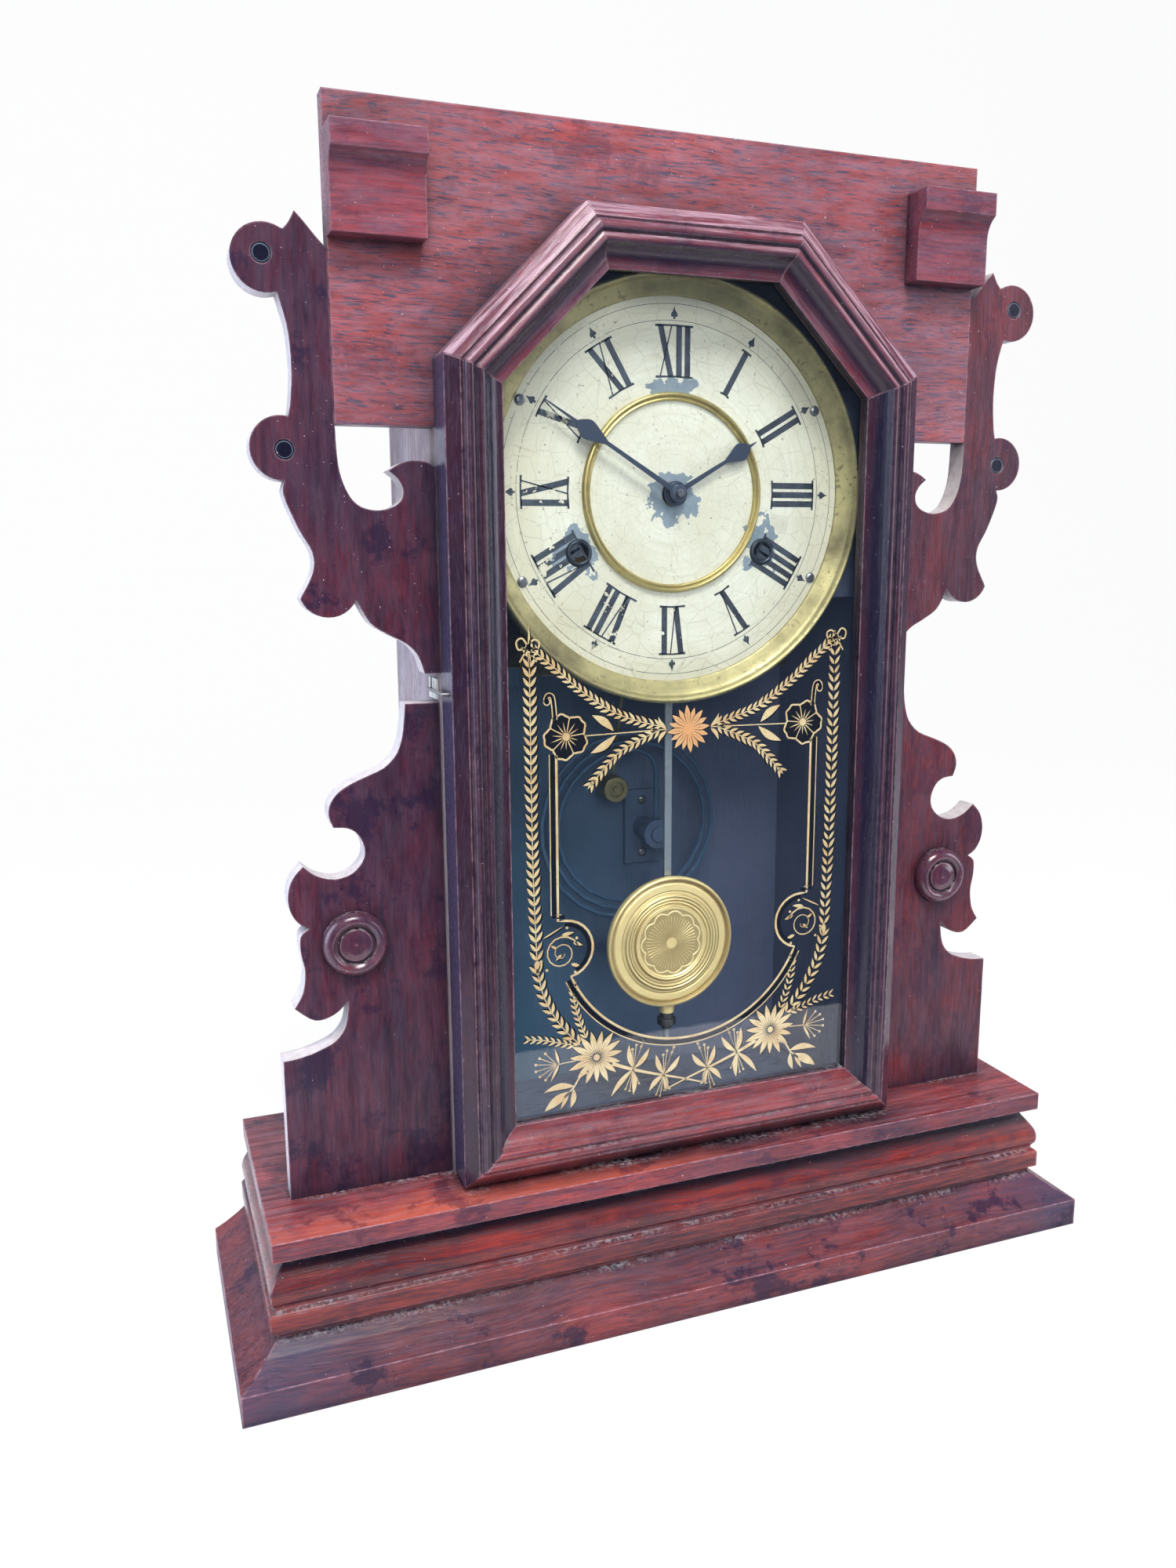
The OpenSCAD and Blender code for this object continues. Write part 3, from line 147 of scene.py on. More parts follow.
def noise(vector, scale, detail=3.0, rough=0.5):
    """A cloudy value."""
    links = {"Vector": vector, "Scale": scale, "Detail": detail, "Roughness": rough}
    return add("ShaderNodeTexNoise", links).outputs[0]


def bumped(height, strength, distance, normal=None):
    """A normal with fine relief, laid over another one where that is given."""
    links = {"Height": height, "Strength": strength, "Distance": distance}
    if normal:
        links["Normal"] = normal
    return add("ShaderNodeBump", links).outputs[0]


def group(family, name, takes, gives):
    """A node group with named inputs and outputs: its tree, what its input node gives, its output node."""
    tree = bpy.data.node_groups.new(name, family + "NodeTree")
    for label, (kind, start) in takes.items():
        socket = tree.interface.new_socket(label, in_out="INPUT", socket_type="NodeSocket" + kind)
        if start is not None:
            socket.default_value = start
    for label, kind in gives.items():
        tree.interface.new_socket(label, in_out="OUTPUT", socket_type="NodeSocket" + kind)
    return tree, tree.nodes.new("NodeGroupInput").outputs, tree.nodes.new("NodeGroupOutput")


def use(shared, links):
    """One shared group placed in a material; gives its outputs."""
    return add("ShaderNodeGroup", links, node_tree=shared).outputs


def material(name):
    """A new material: itself, its main shader and the place on the piece."""
    made = bpy.data.materials.new(name)
    made.use_nodes = True
    place = put(made.node_tree, "ShaderNodeTexCoord").outputs["Object"]
    return made, made.node_tree.nodes["Principled BSDF"], place


def turned(place, angles, shift):
    """The place turned by angles in degrees, so that a grain along X runs the way it should."""
    links = {"Vector": place, "Rotation": tuple(math.radians(a) for a in angles), "Location": shift}
    return add("ShaderNodeMapping", links).outputs[0]


def stretched(vector, share):
    """A place with its length along X shortened to a share, which draws a pattern out along the grain."""
    return add("ShaderNodeMapping", {"Vector": vector, "Scale": (share, 1.0, 1.0)}).outputs[0]


# wood grain: fibres and open pores run along X, under slow waves of red and violet in the old stain
wood_grain, grain_in, grain_out = group("Shader", "wood_grain", {
    "Vector": ("Vector", (0.0, 0.0, 0.0)), "Light": ("Color", (0.2, 0.05, 0.03, 1.0)),
    "Dark": ("Color", (0.05, 0.01, 0.01, 1.0)), "Pore Stain": ("Color", (0.01, 0.01, 0.02, 1.0)),
    "Figure": ("Float", 1.0), "Pores": ("Float", 0.6), "Mottle": ("Float", 0.8),
}, {"Colour": "Color", "Roughness": "Float", "Height": "Float"})
warm_tint = (1.55, 1.05, 0.85, 1.0)
cool_tint = (0.55, 0.68, 0.95, 1.0)
sway = times(noise(grain_in["Vector"], 11.0, 2.0), 0.014)
lean = add("ShaderNodeCombineXYZ", {0: 0.0, 1: sway, 2: sway}).outputs[0]
bent = vectors("ADD", grain_in["Vector"], lean)[0]
rings = between(noise(stretched(bent, 0.1), 80.0, 3.0, 0.55), 0.34, 0.66)
fibres = between(noise(stretched(bent, 0.05), 760.0, 3.0, 0.7), 0.38, 0.62)
slow = between(noise(stretched(bent, 0.5), 22.0, 4.0, 0.65), 0.34, 0.68)
pore_cells = noise(stretched(bent, 0.08), 1500.0, 2.0, 0.5)
pores = times(between(pore_cells, 0.53, 0.64), grain_in["Pores"])
figure = times(rings, grain_in["Figure"])
fibre_share = scaled(grain_in["Figure"], 0.33, 0.12)
tone = scaled(fibres, fibre_share, times(figure, 0.4))
tone = scaled(slow, 0.28, tone)
grain_colour = mix(tone, grain_in["Light"], grain_in["Dark"])
warm_cloud = noise(grain_in["Vector"], 19.0, 5.0, 0.62)
for tint, full_at in ((warm_tint, 0.64), (cool_tint, 0.34)):
    share = times(between(warm_cloud, 0.47, full_at), grain_in["Mottle"])
    grain_colour = mix(share, grain_colour, tint, "MULTIPLY")
grain_colour = mix(times(pores, 0.8), grain_colour, grain_in["Pore Stain"])
grain_gloss = scaled(fibres, 0.1, 0.3)
feed(grain_out, {
    "Colour": grain_colour,
    "Roughness": scaled(pores, 0.2, grain_gloss),
    "Height": scaled(pores, -0.8, times(fibres, 0.3)),
})

# worn edges: arrises rounded by handling, bare in broken patches; on the walnut the mask also lays a painted
# highlight along them
worn_edge, edge_in, edge_out = group("Shader", "worn_edge", {
    "Vector": ("Vector", (0.0, 0.0, 0.0)), "Radius": ("Float", 0.0008), "Break": ("Float", 0.5),
}, {"Mask": "Float", "Normal": "Vector"})
rounded = add("ShaderNodeBevel", {"Radius": edge_in["Radius"]}, samples=4).outputs[0]
flat_face = put(worn_edge, "ShaderNodeNewGeometry").outputs["True Normal"]
arris = between(vectors("DOT_PRODUCT", rounded, flat_face)["Value"], 0.995, 0.86)
patchy = noise(edge_in["Vector"], 240.0, 3.0, 0.6)
patchy = between(patchy, edge_in["Break"], 0.72)
feed(edge_out, {"Mask": times(arris, patchy), "Normal": rounded})

# painted shade with old polish and dust: darkening where two faces meet, partly the polish and dust that
# gather there and partly a painted stand-in for the shade in the nook
grime_and_shade, grime_shade_in, grime_shade_out = group("Shader", "grime_and_shade", {
    "Vector": ("Vector", (0.0, 0.0, 0.0)), "Reach": ("Float", 0.006), "Amount": ("Float", 0.8),
}, {"Mask": "Float"})
nook = add("ShaderNodeAmbientOcclusion", {"Distance": grime_shade_in["Reach"]}, samples=4)
nook_share = between(nook.outputs["AO"], 0.88, 0.42)
cloud = between(noise(grime_shade_in["Vector"], 60.0, 4.0, 0.6), 0.3, 0.6, 0.55, 1.0)
held = times(nook_share, cloud)
feed(grime_shade_out, {"Mask": times(held, grime_shade_in["Amount"])})

# dust: grey fluff and old wax that stays on ledges, in the corner against the next piece
ledge_dust, dust_in, dust_out = group("Shader", "ledge_dust", {
    "Vector": ("Vector", (0.0, 0.0, 0.0)), "Normal": ("Vector", (0.0, 0.0, 1.0)), "Reach": ("Float", 0.004),
}, {"Mask": "Float"})
corner = add("ShaderNodeAmbientOcclusion", {"Distance": dust_in["Reach"]}, samples=4)
in_corner = between(corner.outputs["AO"], 0.86, 0.62)
faces_up = between(axes_of(dust_in["Normal"])[2], 0.15, 0.5)
crumbs = between(noise(dust_in["Vector"], 520.0, 4.0, 0.7), 0.46, 0.6)
drifts = between(noise(dust_in["Vector"], 40.0, 3.0, 0.6), 0.4, 0.6)
settled = times(in_corner, times(crumbs, drifts))
feed(dust_out, {"Mask": times(settled, faces_up)})


def walnut(name, angles, shift, light, dark, figure=1.0, pores=0.7, mottle=0.8, gloss=0.0, shine=1.0,
           wear_and_highlight=0.6, reach=0.012, blotches=0.3, bloom_and_sheen=0.05, scuffs_and_sheen=0.0, rubbed_patch_and_shade=None, rings=(), sawn=False,
           inside=None, mirrored_grain=False, shade_top=None, left_face=None, inner_shade=0.0,
           dark_ends=None):
    """Stained walnut under shellac. angles bring the grain round, rubbed_patch_and_shade is a rubbed
    place and also gives the faces not turned up a painted cool shade, sawn leaves the edges of a board
    bare, inside gives the faces within the case their dark paint, bloom_and_sheen is the share of old
    wax gone lilac with a painted lilac sheen over it, scuffs_and_sheen is the share of pale rubbed
    streaks that are also a painted sheen on faces turned up, rings are stamped marks drawn with painted
    shade within and a painted highlight round their rims, shine is how much polish is left,
    mirrored_grain turns the grain of a right half the other way, shade_top is the top of a painted
    shadow band under an overhanging board, left_face is the colour of a painted sheen on an outer left
    side, inner_shade is how much painted shade lies on the faces turned towards the glass, and dark_ends
    is how far from the middle the front faces turn darker and blue-black."""
    made, shader, place = material(name)
    way_out = put(made.node_tree, "ShaderNodeTexCoord").outputs["Normal"]
    out_x, out_y, out_z = axes_of(way_out)
    at_x, _, at_z = axes_of(place)
    grain_place = place
    if mirrored_grain:
        grain_place = vectors("MULTIPLY", vectors("ABSOLUTE", place)[0], (-1, 1, 1))[0]
    grain_place = turned(grain_place, angles, shift)
    grain = use(wood_grain, {
        "Vector": grain_place, "Light": stain(*light), "Dark": stain(*dark),
        "Pore Stain": stain(44, 24, 44), "Figure": figure, "Pores": pores, "Mottle": mottle,
    })
    edge = use(worn_edge, {"Vector": place, "Radius": 0.0009, "Break": 0.3})
    dirt_and_shade = use(grime_and_shade, {"Vector": place, "Reach": reach, "Amount": 0.95})["Mask"]
    dust = use(ledge_dust, {"Vector": place, "Normal": way_out, "Reach": 0.005})["Mask"]
    colour = grain["Colour"]
    if rubbed_patch_and_shade:
        middle, size, rubbed = rubbed_patch_and_shade
        away = vectors("DIVIDE", vectors("SUBTRACT", place, middle)[0], size)[0]
        ragged = scaled(noise(grain_place, 40.0, 5.0, 0.65), 1.8, -0.9)
        far = plus(vectors("LENGTH", away)["Value"], ragged)
        share = times(between(far, 1.2, 0.4, 0.0, 0.8), between(out_z, 0.4, 0.8))
        colour = mix(share, colour, mix(0.75, colour, stain(*rubbed)))
        # painted shade: the faces not turned up are darkened and cooled, as if out of the light from above
        colour = mix(between(out_z, 0.5, 0.2), colour, (0.62, 0.78, 1.05, 1.0), "MULTIPLY")
    # old wax gone lilac, with a painted lilac sheen that stands in for the polish's reflection of the sky
    wax = noise(stretched(grain_place, 0.22), 240.0, 6.0, 0.75)
    colour = mix(between(wax, 0.36, 0.7, bloom_and_sheen * 0.4, bloom_and_sheen * 2.0), colour, stain(160, 144, 168))
    if scuffs_and_sheen:
        # pale rubbed streaks along the grain, stronger on faces turned up, where they are also a painted
        # sheen
        scuff_sheen_streak = noise(stretched(grain_place, 0.06), 420.0, 4.0, 0.7)
        scuff_sheen_streak = between(scuff_sheen_streak, 0.42, 0.62, 0.0, scuffs_and_sheen)
        scuff_sheen_streak = times(scuff_sheen_streak, between(out_z, 0.0, 0.45, 0.2, 1.0))
        colour = mix(scuff_sheen_streak, colour, stain(196, 168, 180))
    if inner_shade:
        # painted shade: dark navy on the faces turned towards the glass
        over = larger(less(at_z, door_shoulder), 0.0)
        inward = add("ShaderNodeCombineXYZ", {0: times(at_x, -1.0), 2: times(over, -3.0)})
        inward = vectors("NORMALIZE", inward.outputs[0])[0]
        turned_in = vectors("DOT_PRODUCT", inward, way_out)["Value"]
        colour = mix(between(turned_in, 0.12, 0.5, 0.0, inner_shade), colour, stain(18, 18, 38))
    if dark_ends:
        # the front faces turn darker and blue-black towards both ends
        wander = scaled(noise(grain_place, 30.0, 4.0, 0.6), 0.08, -0.04)
        far_side = plus(unsigned(at_x), wander)
        darkened = between(far_side, dark_ends, dark_ends + 0.06, 0.0, 0.55)
        darkened = times(between(out_y, -0.15, -0.4), darkened)
        colour = mix(darkened, colour, stain(52, 58, 82))
    inky = between(noise(place, 42.0, 6.0, 0.7), 0.55, 0.61, 0.0, blotches)
    colour = mix(inky, colour, stain(28, 22, 46))
    # bare rubbed arrises, pale lilac, which are also a painted highlight along the edges
    colour = mix(times(edge["Mask"], wear_and_highlight), colour, stain(204, 160, 172))
    # stamped rings: painted shade within each ring and a painted highlight round its rim
    front_face = between(out_y, -0.4, -0.8)
    for ring_x, ring_z, ring_r in rings:
        level = vectors("MULTIPLY", place, (1, 0, 1))[0]
        away = vectors("DISTANCE", level, (ring_x / 1000, 0.0, ring_z / 1000))["Value"]
        within = between(away, (ring_r + 0.3) / 1000, ring_r / 1000)
        colour = mix(times(within, front_face), colour, stain(14, 14, 32))
        lip_highlight = unsigned(less(away, ring_r / 1000))
        lip_highlight = times(between(lip_highlight, 0.0005, 0.0002), front_face)
        colour = mix(times(lip_highlight, 0.6), colour, stain(120, 140, 160))
    if sawn:
        bare = mix(noise(place, 300.0, 3.0), stain(226, 222, 220), stain(168, 158, 160))
        colour = mix(between(unsigned(out_y), 0.6, 0.4, 0.0, 0.9), colour, bare)
    if left_face:
        # painted sheen on the faces turned to the left
        colour = mix(between(out_x, -0.6, -0.9, 0.0, 0.6), colour, stain(*left_face))
    if shade_top:
        # painted shadow: a near-black band under the overhang of the board above
        soot = between(at_z, shade_top - 0.0095, shade_top - 0.005, 0.0, 0.94)
        colour = mix(soot, colour, stain(12, 10, 24))
    # painted shade, with some real soiling: dark navy where faces meet and in recesses
    colour = mix(dirt_and_shade, colour, stain(13, 13, 28))
    colour = mix(times(dust, 0.75), colour, stain(158, 156, 160))
    flecks = between(noise(place, 1000.0, 2.0, 0.5), 0.74, 0.77, 0.0, 0.8)
    colour = mix(flecks, colour, stain(186, 172, 178))
    if inside:
        colour = mix(inside(place), colour, stain(42, 56, 82))
    rough = plus(grain["Roughness"], gloss - 0.06)
    rough = scaled(dirt_and_shade, 0.35, rough)
    rough = scaled(dust, 0.4, rough)
    scuffs = between(noise(place, 26.0, 5.0, 0.65), 0.42, 0.7, 0.0, 0.16)
    feed(shader, {
        "Base Color": colour,
        "Roughness": plus(rough, scuffs),
        "Normal": bumped(grain["Height"], 0.22 / max(shine, 1.0), 0.0004, edge["Normal"]),
        "Coat Weight": 0.1 * shine,
        "Coat Roughness": 0.2,
        "Specular IOR Level": 0.18 * shine,
    })
    return made


def finish_with(made, *nodes):
    """Gives CAD nodes their material."""
    for name in nodes:
        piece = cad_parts[name]
        for held_slot in piece.material_slots:
            held_slot.material = made


lengthwise = (0, 0, 0)
upright = (0, 90, 0)
finish_with(walnut(
    "base_walnut_skirt", lengthwise, (0.3, 0.2, 0.0), (112, 50, 44), (42, 14, 28), gloss=0.04, wear_and_highlight=0.9,
    blotches=0.75, scuffs_and_sheen=0.03, reach=0.008, shine=0.8, dark_ends=0.125, left_face=(84, 68, 96),
), "base_skirt")
finish_with(walnut(
    "base_walnut_moulding", lengthwise, (0.7, 0.1, 0.0), (128, 47, 36), (34, 11, 20), wear_and_highlight=0.8, shine=1.5,
    gloss=-0.1, bloom_and_sheen=0.02, shade_top=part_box("base_top_board")[0].z,
), "base_moulding")
rubbed_spot = ((-0.09, -0.052, 0.064), (0.11, 0.018, 0.02), (196, 88, 52))


def within_case(place):
    """1 behind the front of the carcase and between its sides, where the board is its floor."""
    at_x, at_y, _ = axes_of(place)
    back_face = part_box("backboard")[0].y
    behind = between(at_y, -case_front + 0.002, -case_front + 0.003)
    before_back = between(at_y, back_face + 0.003, back_face + 0.002)
    inward = between(unsigned(at_x), 0.097, 0.096)
    return times(times(behind, inward), before_back)


finish_with(walnut(
    "base_walnut_board", lengthwise, (0.1, 0.5, 0.0), (146, 56, 48), (60, 18, 28), gloss=-0.04, wear_and_highlight=0.9,
    blotches=0.5, scuffs_and_sheen=0.12, rubbed_patch_and_shade=rubbed_spot, inside=within_case,
), "base_top_board")

# Carcase: two plain sides, a top and a backboard nailed together, with glue blocks inside for the
# dial and the movement. Cheap pine: bare and grey with age outside, stained near black where it
# shows behind the glass, though the paint here is a lighter slate blue, more violet at the right, as
# a painted reflection of the room in the glass. Slotted iron screws hold the movement to its blocks.


def pine(name, angles, shift, inside_mask=None):
    """Bare old pine, with the inside faces painted where inside_mask says so: a slate blue lighter than their
    dark stain, as a painted reflection of the room in the glass.
    """
    made, shader, place = material(name)
    grain = use(wood_grain, {
        "Vector": turned(place, angles, shift), "Light": stain(176, 166, 168),
        "Dark": stain(112, 100, 106), "Pore Stain": stain(70, 62, 66), "Figure": 1.0, "Pores": 0.5,
        "Mottle": 0.12,
    })
    edge = use(worn_edge, {"Vector": place, "Radius": 0.0007, "Break": 0.4})
    dirt_and_shade = use(grime_and_shade, {"Vector": place, "Reach": 0.01, "Amount": 0.7})["Mask"]
    blotch = between(noise(place, 18.0, 5.0, 0.65), 0.45, 0.72, 0.0, 0.6)
    colour = mix(blotch, grain["Colour"], stain(104, 84, 76))
    colour = mix(edge["Mask"], colour, stain(192, 178, 164))
    # painted shade, with some real soiling, darkens the places where faces meet
    colour = mix(dirt_and_shade, colour, stain(52, 44, 48))
    rough = plus(grain["Roughness"], 0.38)
    if inside_mask:
        share = inside_mask(place)
        # the inside paint is lighter than the dark stain and goes from blue at the left to violet at the
        # right: a painted reflection of the room in the glass
        across = between(axes_of(place)[0], -0.05, 0.06)
        painted = mix(across, stain(70, 106, 132), stain(98, 106, 132))
        soot = between(noise(place, 14.0, 6.0, 0.65), 0.35, 0.68, 0.0, 0.5)
        painted = mix(soot, painted, stain(50, 68, 94))
        painted = mix(0.25, painted, grain["Colour"], "MULTIPLY")
        colour = mix(share, colour, painted)
        rough = mix(share, rough, (0.42, 0.42, 0.42, 1.0))
    feed(shader, {
        "Base Color": colour,
        "Roughness": rough,
        "Normal": bumped(grain["Height"], 0.5, 0.0005, edge["Normal"]),
    })
    return made


inner_half = 0.093


def inner_side(place):
    """1 on faces nearer the middle than the sides' outer faces."""
    return between(unsigned(axes_of(place)[0]), inner_half + 0.0005, inner_half)


def inner_back(place):
    """1 on the backboard's front."""
    back_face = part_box("backboard")[0].y
    return between(axes_of(place)[1], back_face + 0.001, back_face + 0.0005)


def everywhere(place):
    """1 all over, for the blocks that only show from the front."""
    return between(axes_of(place)[2], -1.0, 0.0)


finish_with(pine("side_pine", upright, (0.0, 0.2, 0.1), inner_side), "case_side_left", "case_side_right")
finish_with(pine("back_pine", upright, (0.4, 0.2, 0.1), inner_back), "backboard")
finish_with(pine("rail_pine", lengthwise, (0.1, 0.6, 0.1)), "base_back_rail", "case_top")
finish_with(pine("block_pine", upright, (0.5, 0.6, 0.1), everywhere), "case_blocks", "gong_base")

# Crest and corbels: the crest is a single walnut board, sawn square and glued to the front of the
# carcase with its grain across; two ogee corbel blocks are glued on near its ends.
finish_with(walnut(
    "crest_walnut", lengthwise, (0.0, 0.0, 0.3), (150, 62, 50), (56, 20, 32), pores=1.25, mottle=0.4,
    figure=0.7, wear_and_highlight=0.5, reach=0.02, bloom_and_sheen=0.16, shine=2.0,
), "crest_board")
finish_with(walnut(
    "corbel_walnut", lengthwise, (0.4, 0.0, 0.1), (132, 52, 56), (50, 16, 36), pores=0.5, bloom_and_sheen=0.1,
    scuffs_and_sheen=0.12,
), "corbels")

# Scroll boards and roundels: four fret-sawn walnut brackets glued to the carcase's sides, each with
# stamped rings, and a turned button glued to each lower one.
upper_rings = [(159.4, 420.1, 3.1), (154.8, 354.5, 3.1)]
finish_with(walnut(
    "scroll_walnut_left", upright, (0.2, 0.3, 0.0), (78, 28, 43), (26, 11, 31), blotches=0.65, sawn=True,
    rings=[(-x, z, r) for x, z, r in upper_rings],
), "upper_scroll_left", "lower_scroll_left")
finish_with(walnut(
    "scroll_walnut_right", upright, (0.6, 0.3, 0.2), (96, 35, 37), (32, 12, 26), sawn=True, rings=upper_rings,
), "upper_scroll_right", "lower_scroll_right")
finish_with(walnut(
    "roundel_walnut", upright, (0.9, 0.3, 0.2), (86, 28, 44), (28, 10, 28), wear_and_highlight=1.0, reach=0.005, shine=3.0,
    gloss=-0.15,
), "roundels")

# Door: six lengths of one walnut moulding, mitred into a frame with cut-off top corners, rebated for
# the glass; thin beads bradded inside hold the glass.
finish_with(walnut(
    "stile_walnut_left", upright, (0.3, 0.0, 0.0), (42, 15, 29), (16, 7, 22), wear_and_highlight=1.0, figure=0.5,
    bloom_and_sheen=0.02, reach=0.009, shine=1.8, gloss=-0.1, left_face=(70, 68, 92), inner_shade=0.85,
), "door_stile_left")
finish_with(walnut(
    "stile_walnut_right", upright, (0.8, 0.0, 0.0), (48, 16, 32), (18, 7, 24), wear_and_highlight=0.9, figure=0.5,
    bloom_and_sheen=0.03, reach=0.01, shine=1.8, gloss=-0.1, inner_shade=0.9,
), "door_stile_right")
for name, node, way, shift, light, dark, looks in (
    ("rail_walnut_top", "door_rail_top", lengthwise, (0.2, 0.9, 0.0), (114, 43, 48), (46, 16, 31),
     {"wear_and_highlight": 1.0, "figure": 0.6, "scuffs_and_sheen": 0.45, "reach": 0.009, "inner_shade": 0.85}),
    ("rail_walnut_bottom", "door_rail_bottom", lengthwise, (0.6, 0.9, 0.0), (126, 45, 38), (46, 15, 24),
     {"wear_and_highlight": 0.9, "figure": 0.7, "scuffs_and_sheen": 0.12, "reach": 0.008}),
    ("slant_walnut", "door_slants", (0, 45, 0), (0.1, 0.0, 0.7), (110, 43, 50), (46, 17, 32),
     {"wear_and_highlight": 1.0, "figure": 0.6, "scuffs_and_sheen": 0.65, "reach": 0.009, "inner_shade": 0.85,
      "mirrored_grain": True}),
):
    finish_with(walnut(name, way, shift, light, dark, shine=2.0, gloss=-0.1, **looks), node)
finish_with(walnut("bead_walnut", upright, (0.1, 0.1, 0.7), (72, 44, 38), (36, 20, 20)), "glass_beads")

# Glass of the door: one pane of old window glass with a tablet painted on its back, gilt leaf with
# black behind it: bows, garlands, wheat stems, flowers, daisies and a lined frame for the pendulum.
pane, pane_shader, pane_place = material("door_pane")
smear = noise(pane_place, 14.0, 4.0, 0.6)
feed(pane_shader, {
    "Base Color": (0.93, 0.97, 0.98, 1.0),
    "Roughness": between(smear, 0.45, 0.75, 0.0, 0.035),
    "Transmission Weight": 1.0,
    "IOR": 1.45,
    "Normal": bumped(smear, 0.02, 0.001),
})
through = put(pane.node_tree, "ShaderNodeBsdfTransparent", {"Color": (0.94, 0.97, 0.98, 1.0)}).outputs[0]
ray = put(pane.node_tree, "ShaderNodeLightPath").outputs
lit = larger(ray["Is Shadow Ray"], ray["Is Diffuse Ray"])
pane_mix = add("ShaderNodeMixShader", {0: lit, 1: pane_shader.outputs[0], 2: through}).outputs[0]
feed(pane.node_tree.nodes["Material Output"], {"Surface": pane_mix})
finish_with(pane, "door_glass")

glass_back = -9.8
foil = 0.03
line_y = glass_back + 0.01
gilt_y = glass_back + 0.05
black_y = glass_back + 0.1


def smooth(points, steps):
    """A smooth line through the points."""
    line = []
    ends = [points[0]] + list(points) + [points[-1]]
    for i in range(len(points) - 1):
        a, b, c, d = ends[i:i + 4]
        for k in range(steps):
            t = k / steps
            line.append(tuple(
                0.5 * (2 * b[n] + (c[n] - a[n]) * t + (2 * a[n] - 5 * b[n] + 4 * c[n] - d[n]) * t * t
                       + (3 * b[n] - a[n] - 3 * c[n] + d[n]) * t * t * t)
                for n in (0, 1)
            ))
    return line + [tuple(points[-1])]


def mirrored(points, side):
    """The points as they are on the right, or turned over to the left."""
    return [(side * x, z) for x, z in points]


def leaf(foot, tip, width, belly, bend=0.0):
    """The outline of a leaf from foot to tip; bend bows its middle to the left."""
    long_x, long_z = tip[0] - foot[0], tip[1] - foot[1]
    norm = math.hypot(long_x, long_z)
    out = []
    for side in (1, -1):
        for k in range(0, 7):
            t = k / 7 if side == 1 else 1 - k / 7
            half = side * width / 2 * math.sin(math.pi * t ** (math.log(0.5) / math.log(belly)))
            half += bend * math.sin(math.pi * t)
            out.append((foot[0] + long_x * t - half * long_z / norm,
                        foot[1] + long_z * t + half * long_x / norm))
    return out


def disc(middle, radius, count=12):
    """A small round outline."""
    ways = [2 * math.pi * k / count for k in range(count)]
    return [(middle[0] + radius * math.cos(way), middle[1] + radius * math.sin(way)) for way in ways]


def ribbon(points, width, end_share=1.0):
    """The outline of a line along points, even in width or tapered to a share of it."""
    left = []
    right = []
    for i, (x, z) in enumerate(points):
        before = points[max(i - 1, 0)]
        after = points[min(i + 1, len(points) - 1)]
        run = math.hypot(after[0] - before[0], after[1] - before[1]) or 1.0
        nx, nz = -(after[1] - before[1]) / run, (after[0] - before[0]) / run
        half = width / 2 * (1 + (end_share - 1) * i / (len(points) - 1))
        left.append((x + nx * half, z + nz * half))
        right.append((x - nx * half, z - nz * half))
    return left + right[::-1]


def as_mesh(name, shapes, outward=True):
    """A mesh of what was drawn, with its faces turned outward where it is closed."""
    if outward:
        bmesh.ops.recalc_face_normals(shapes, faces=shapes.faces)
    mesh = bpy.data.meshes.new(name)
    shapes.to_mesh(mesh)
    shapes.free()
    return mesh


def slab(shapes, front, back):
    """One thin closed shape between two outlines."""
    front = [shapes.verts.new(point) for point in front]
    back = [shapes.verts.new(point) for point in back]
    shapes.faces.new(front)
    shapes.faces.new(back[::-1])
    for i in range(len(front)):
        j = (i + 1) % len(front)
        shapes.faces.new((front[j], front[i], back[i], back[j]))


def flat_shapes(name, layers):
    """A mesh of thin closed shapes seen from the front; layers holds outlines with the y of each."""
    shapes = bmesh.new()
    for outline, y in layers:
        slab(shapes, [spot(x, y, z) for x, z in outline], [spot(x, y + foil, z) for x, z in outline])
    return as_mesh(name, shapes)


def lay_on(name, mesh, made, body):
    """A finished mesh as a piece of the object, with its material."""
    mesh.materials.clear()
    mesh.materials.append(made)
    piece = bpy.data.objects.new(name, mesh)
    bpy.context.scene.collection.objects.link(piece)
    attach(piece, body)


def uneven_size(taken, low, high):
    """The size of each copy in the plane of the glass, a little larger or smaller than the last."""
    links = {"Seed": taken["Seed"], 2: low, 3: high}
    share = add("FunctionNodeRandomValue", links, data_type="FLOAT").outputs[1]
    size = times(share, taken["Size"])
    return add("ShaderNodeCombineXYZ", {0: size, 1: 1.0, 2: size}).outputs[0]


def placed(points, shape, way, scale=(1.0, 1.0, 1.0)):
    """Copies of a shape on points, each turned about the line of sight."""
    way = add("ShaderNodeCombineXYZ", {1: times(way, -1.0)}).outputs[0]
    return add("GeometryNodeInstanceOnPoints", {
        "Points": points, "Instance": shape, "Rotation": way, "Scale": scale,
    }).outputs[0]


def end_tree(copies, finish, out):
    """The end of a tree: its copies made real, with their material."""
    real = add("GeometryNodeRealizeInstances", {0: copies}).outputs[0]
    finished = add("GeometryNodeSetMaterial", {"Geometry": real, "Material": finish}).outputs[0]
    feed(out, {0: finished})


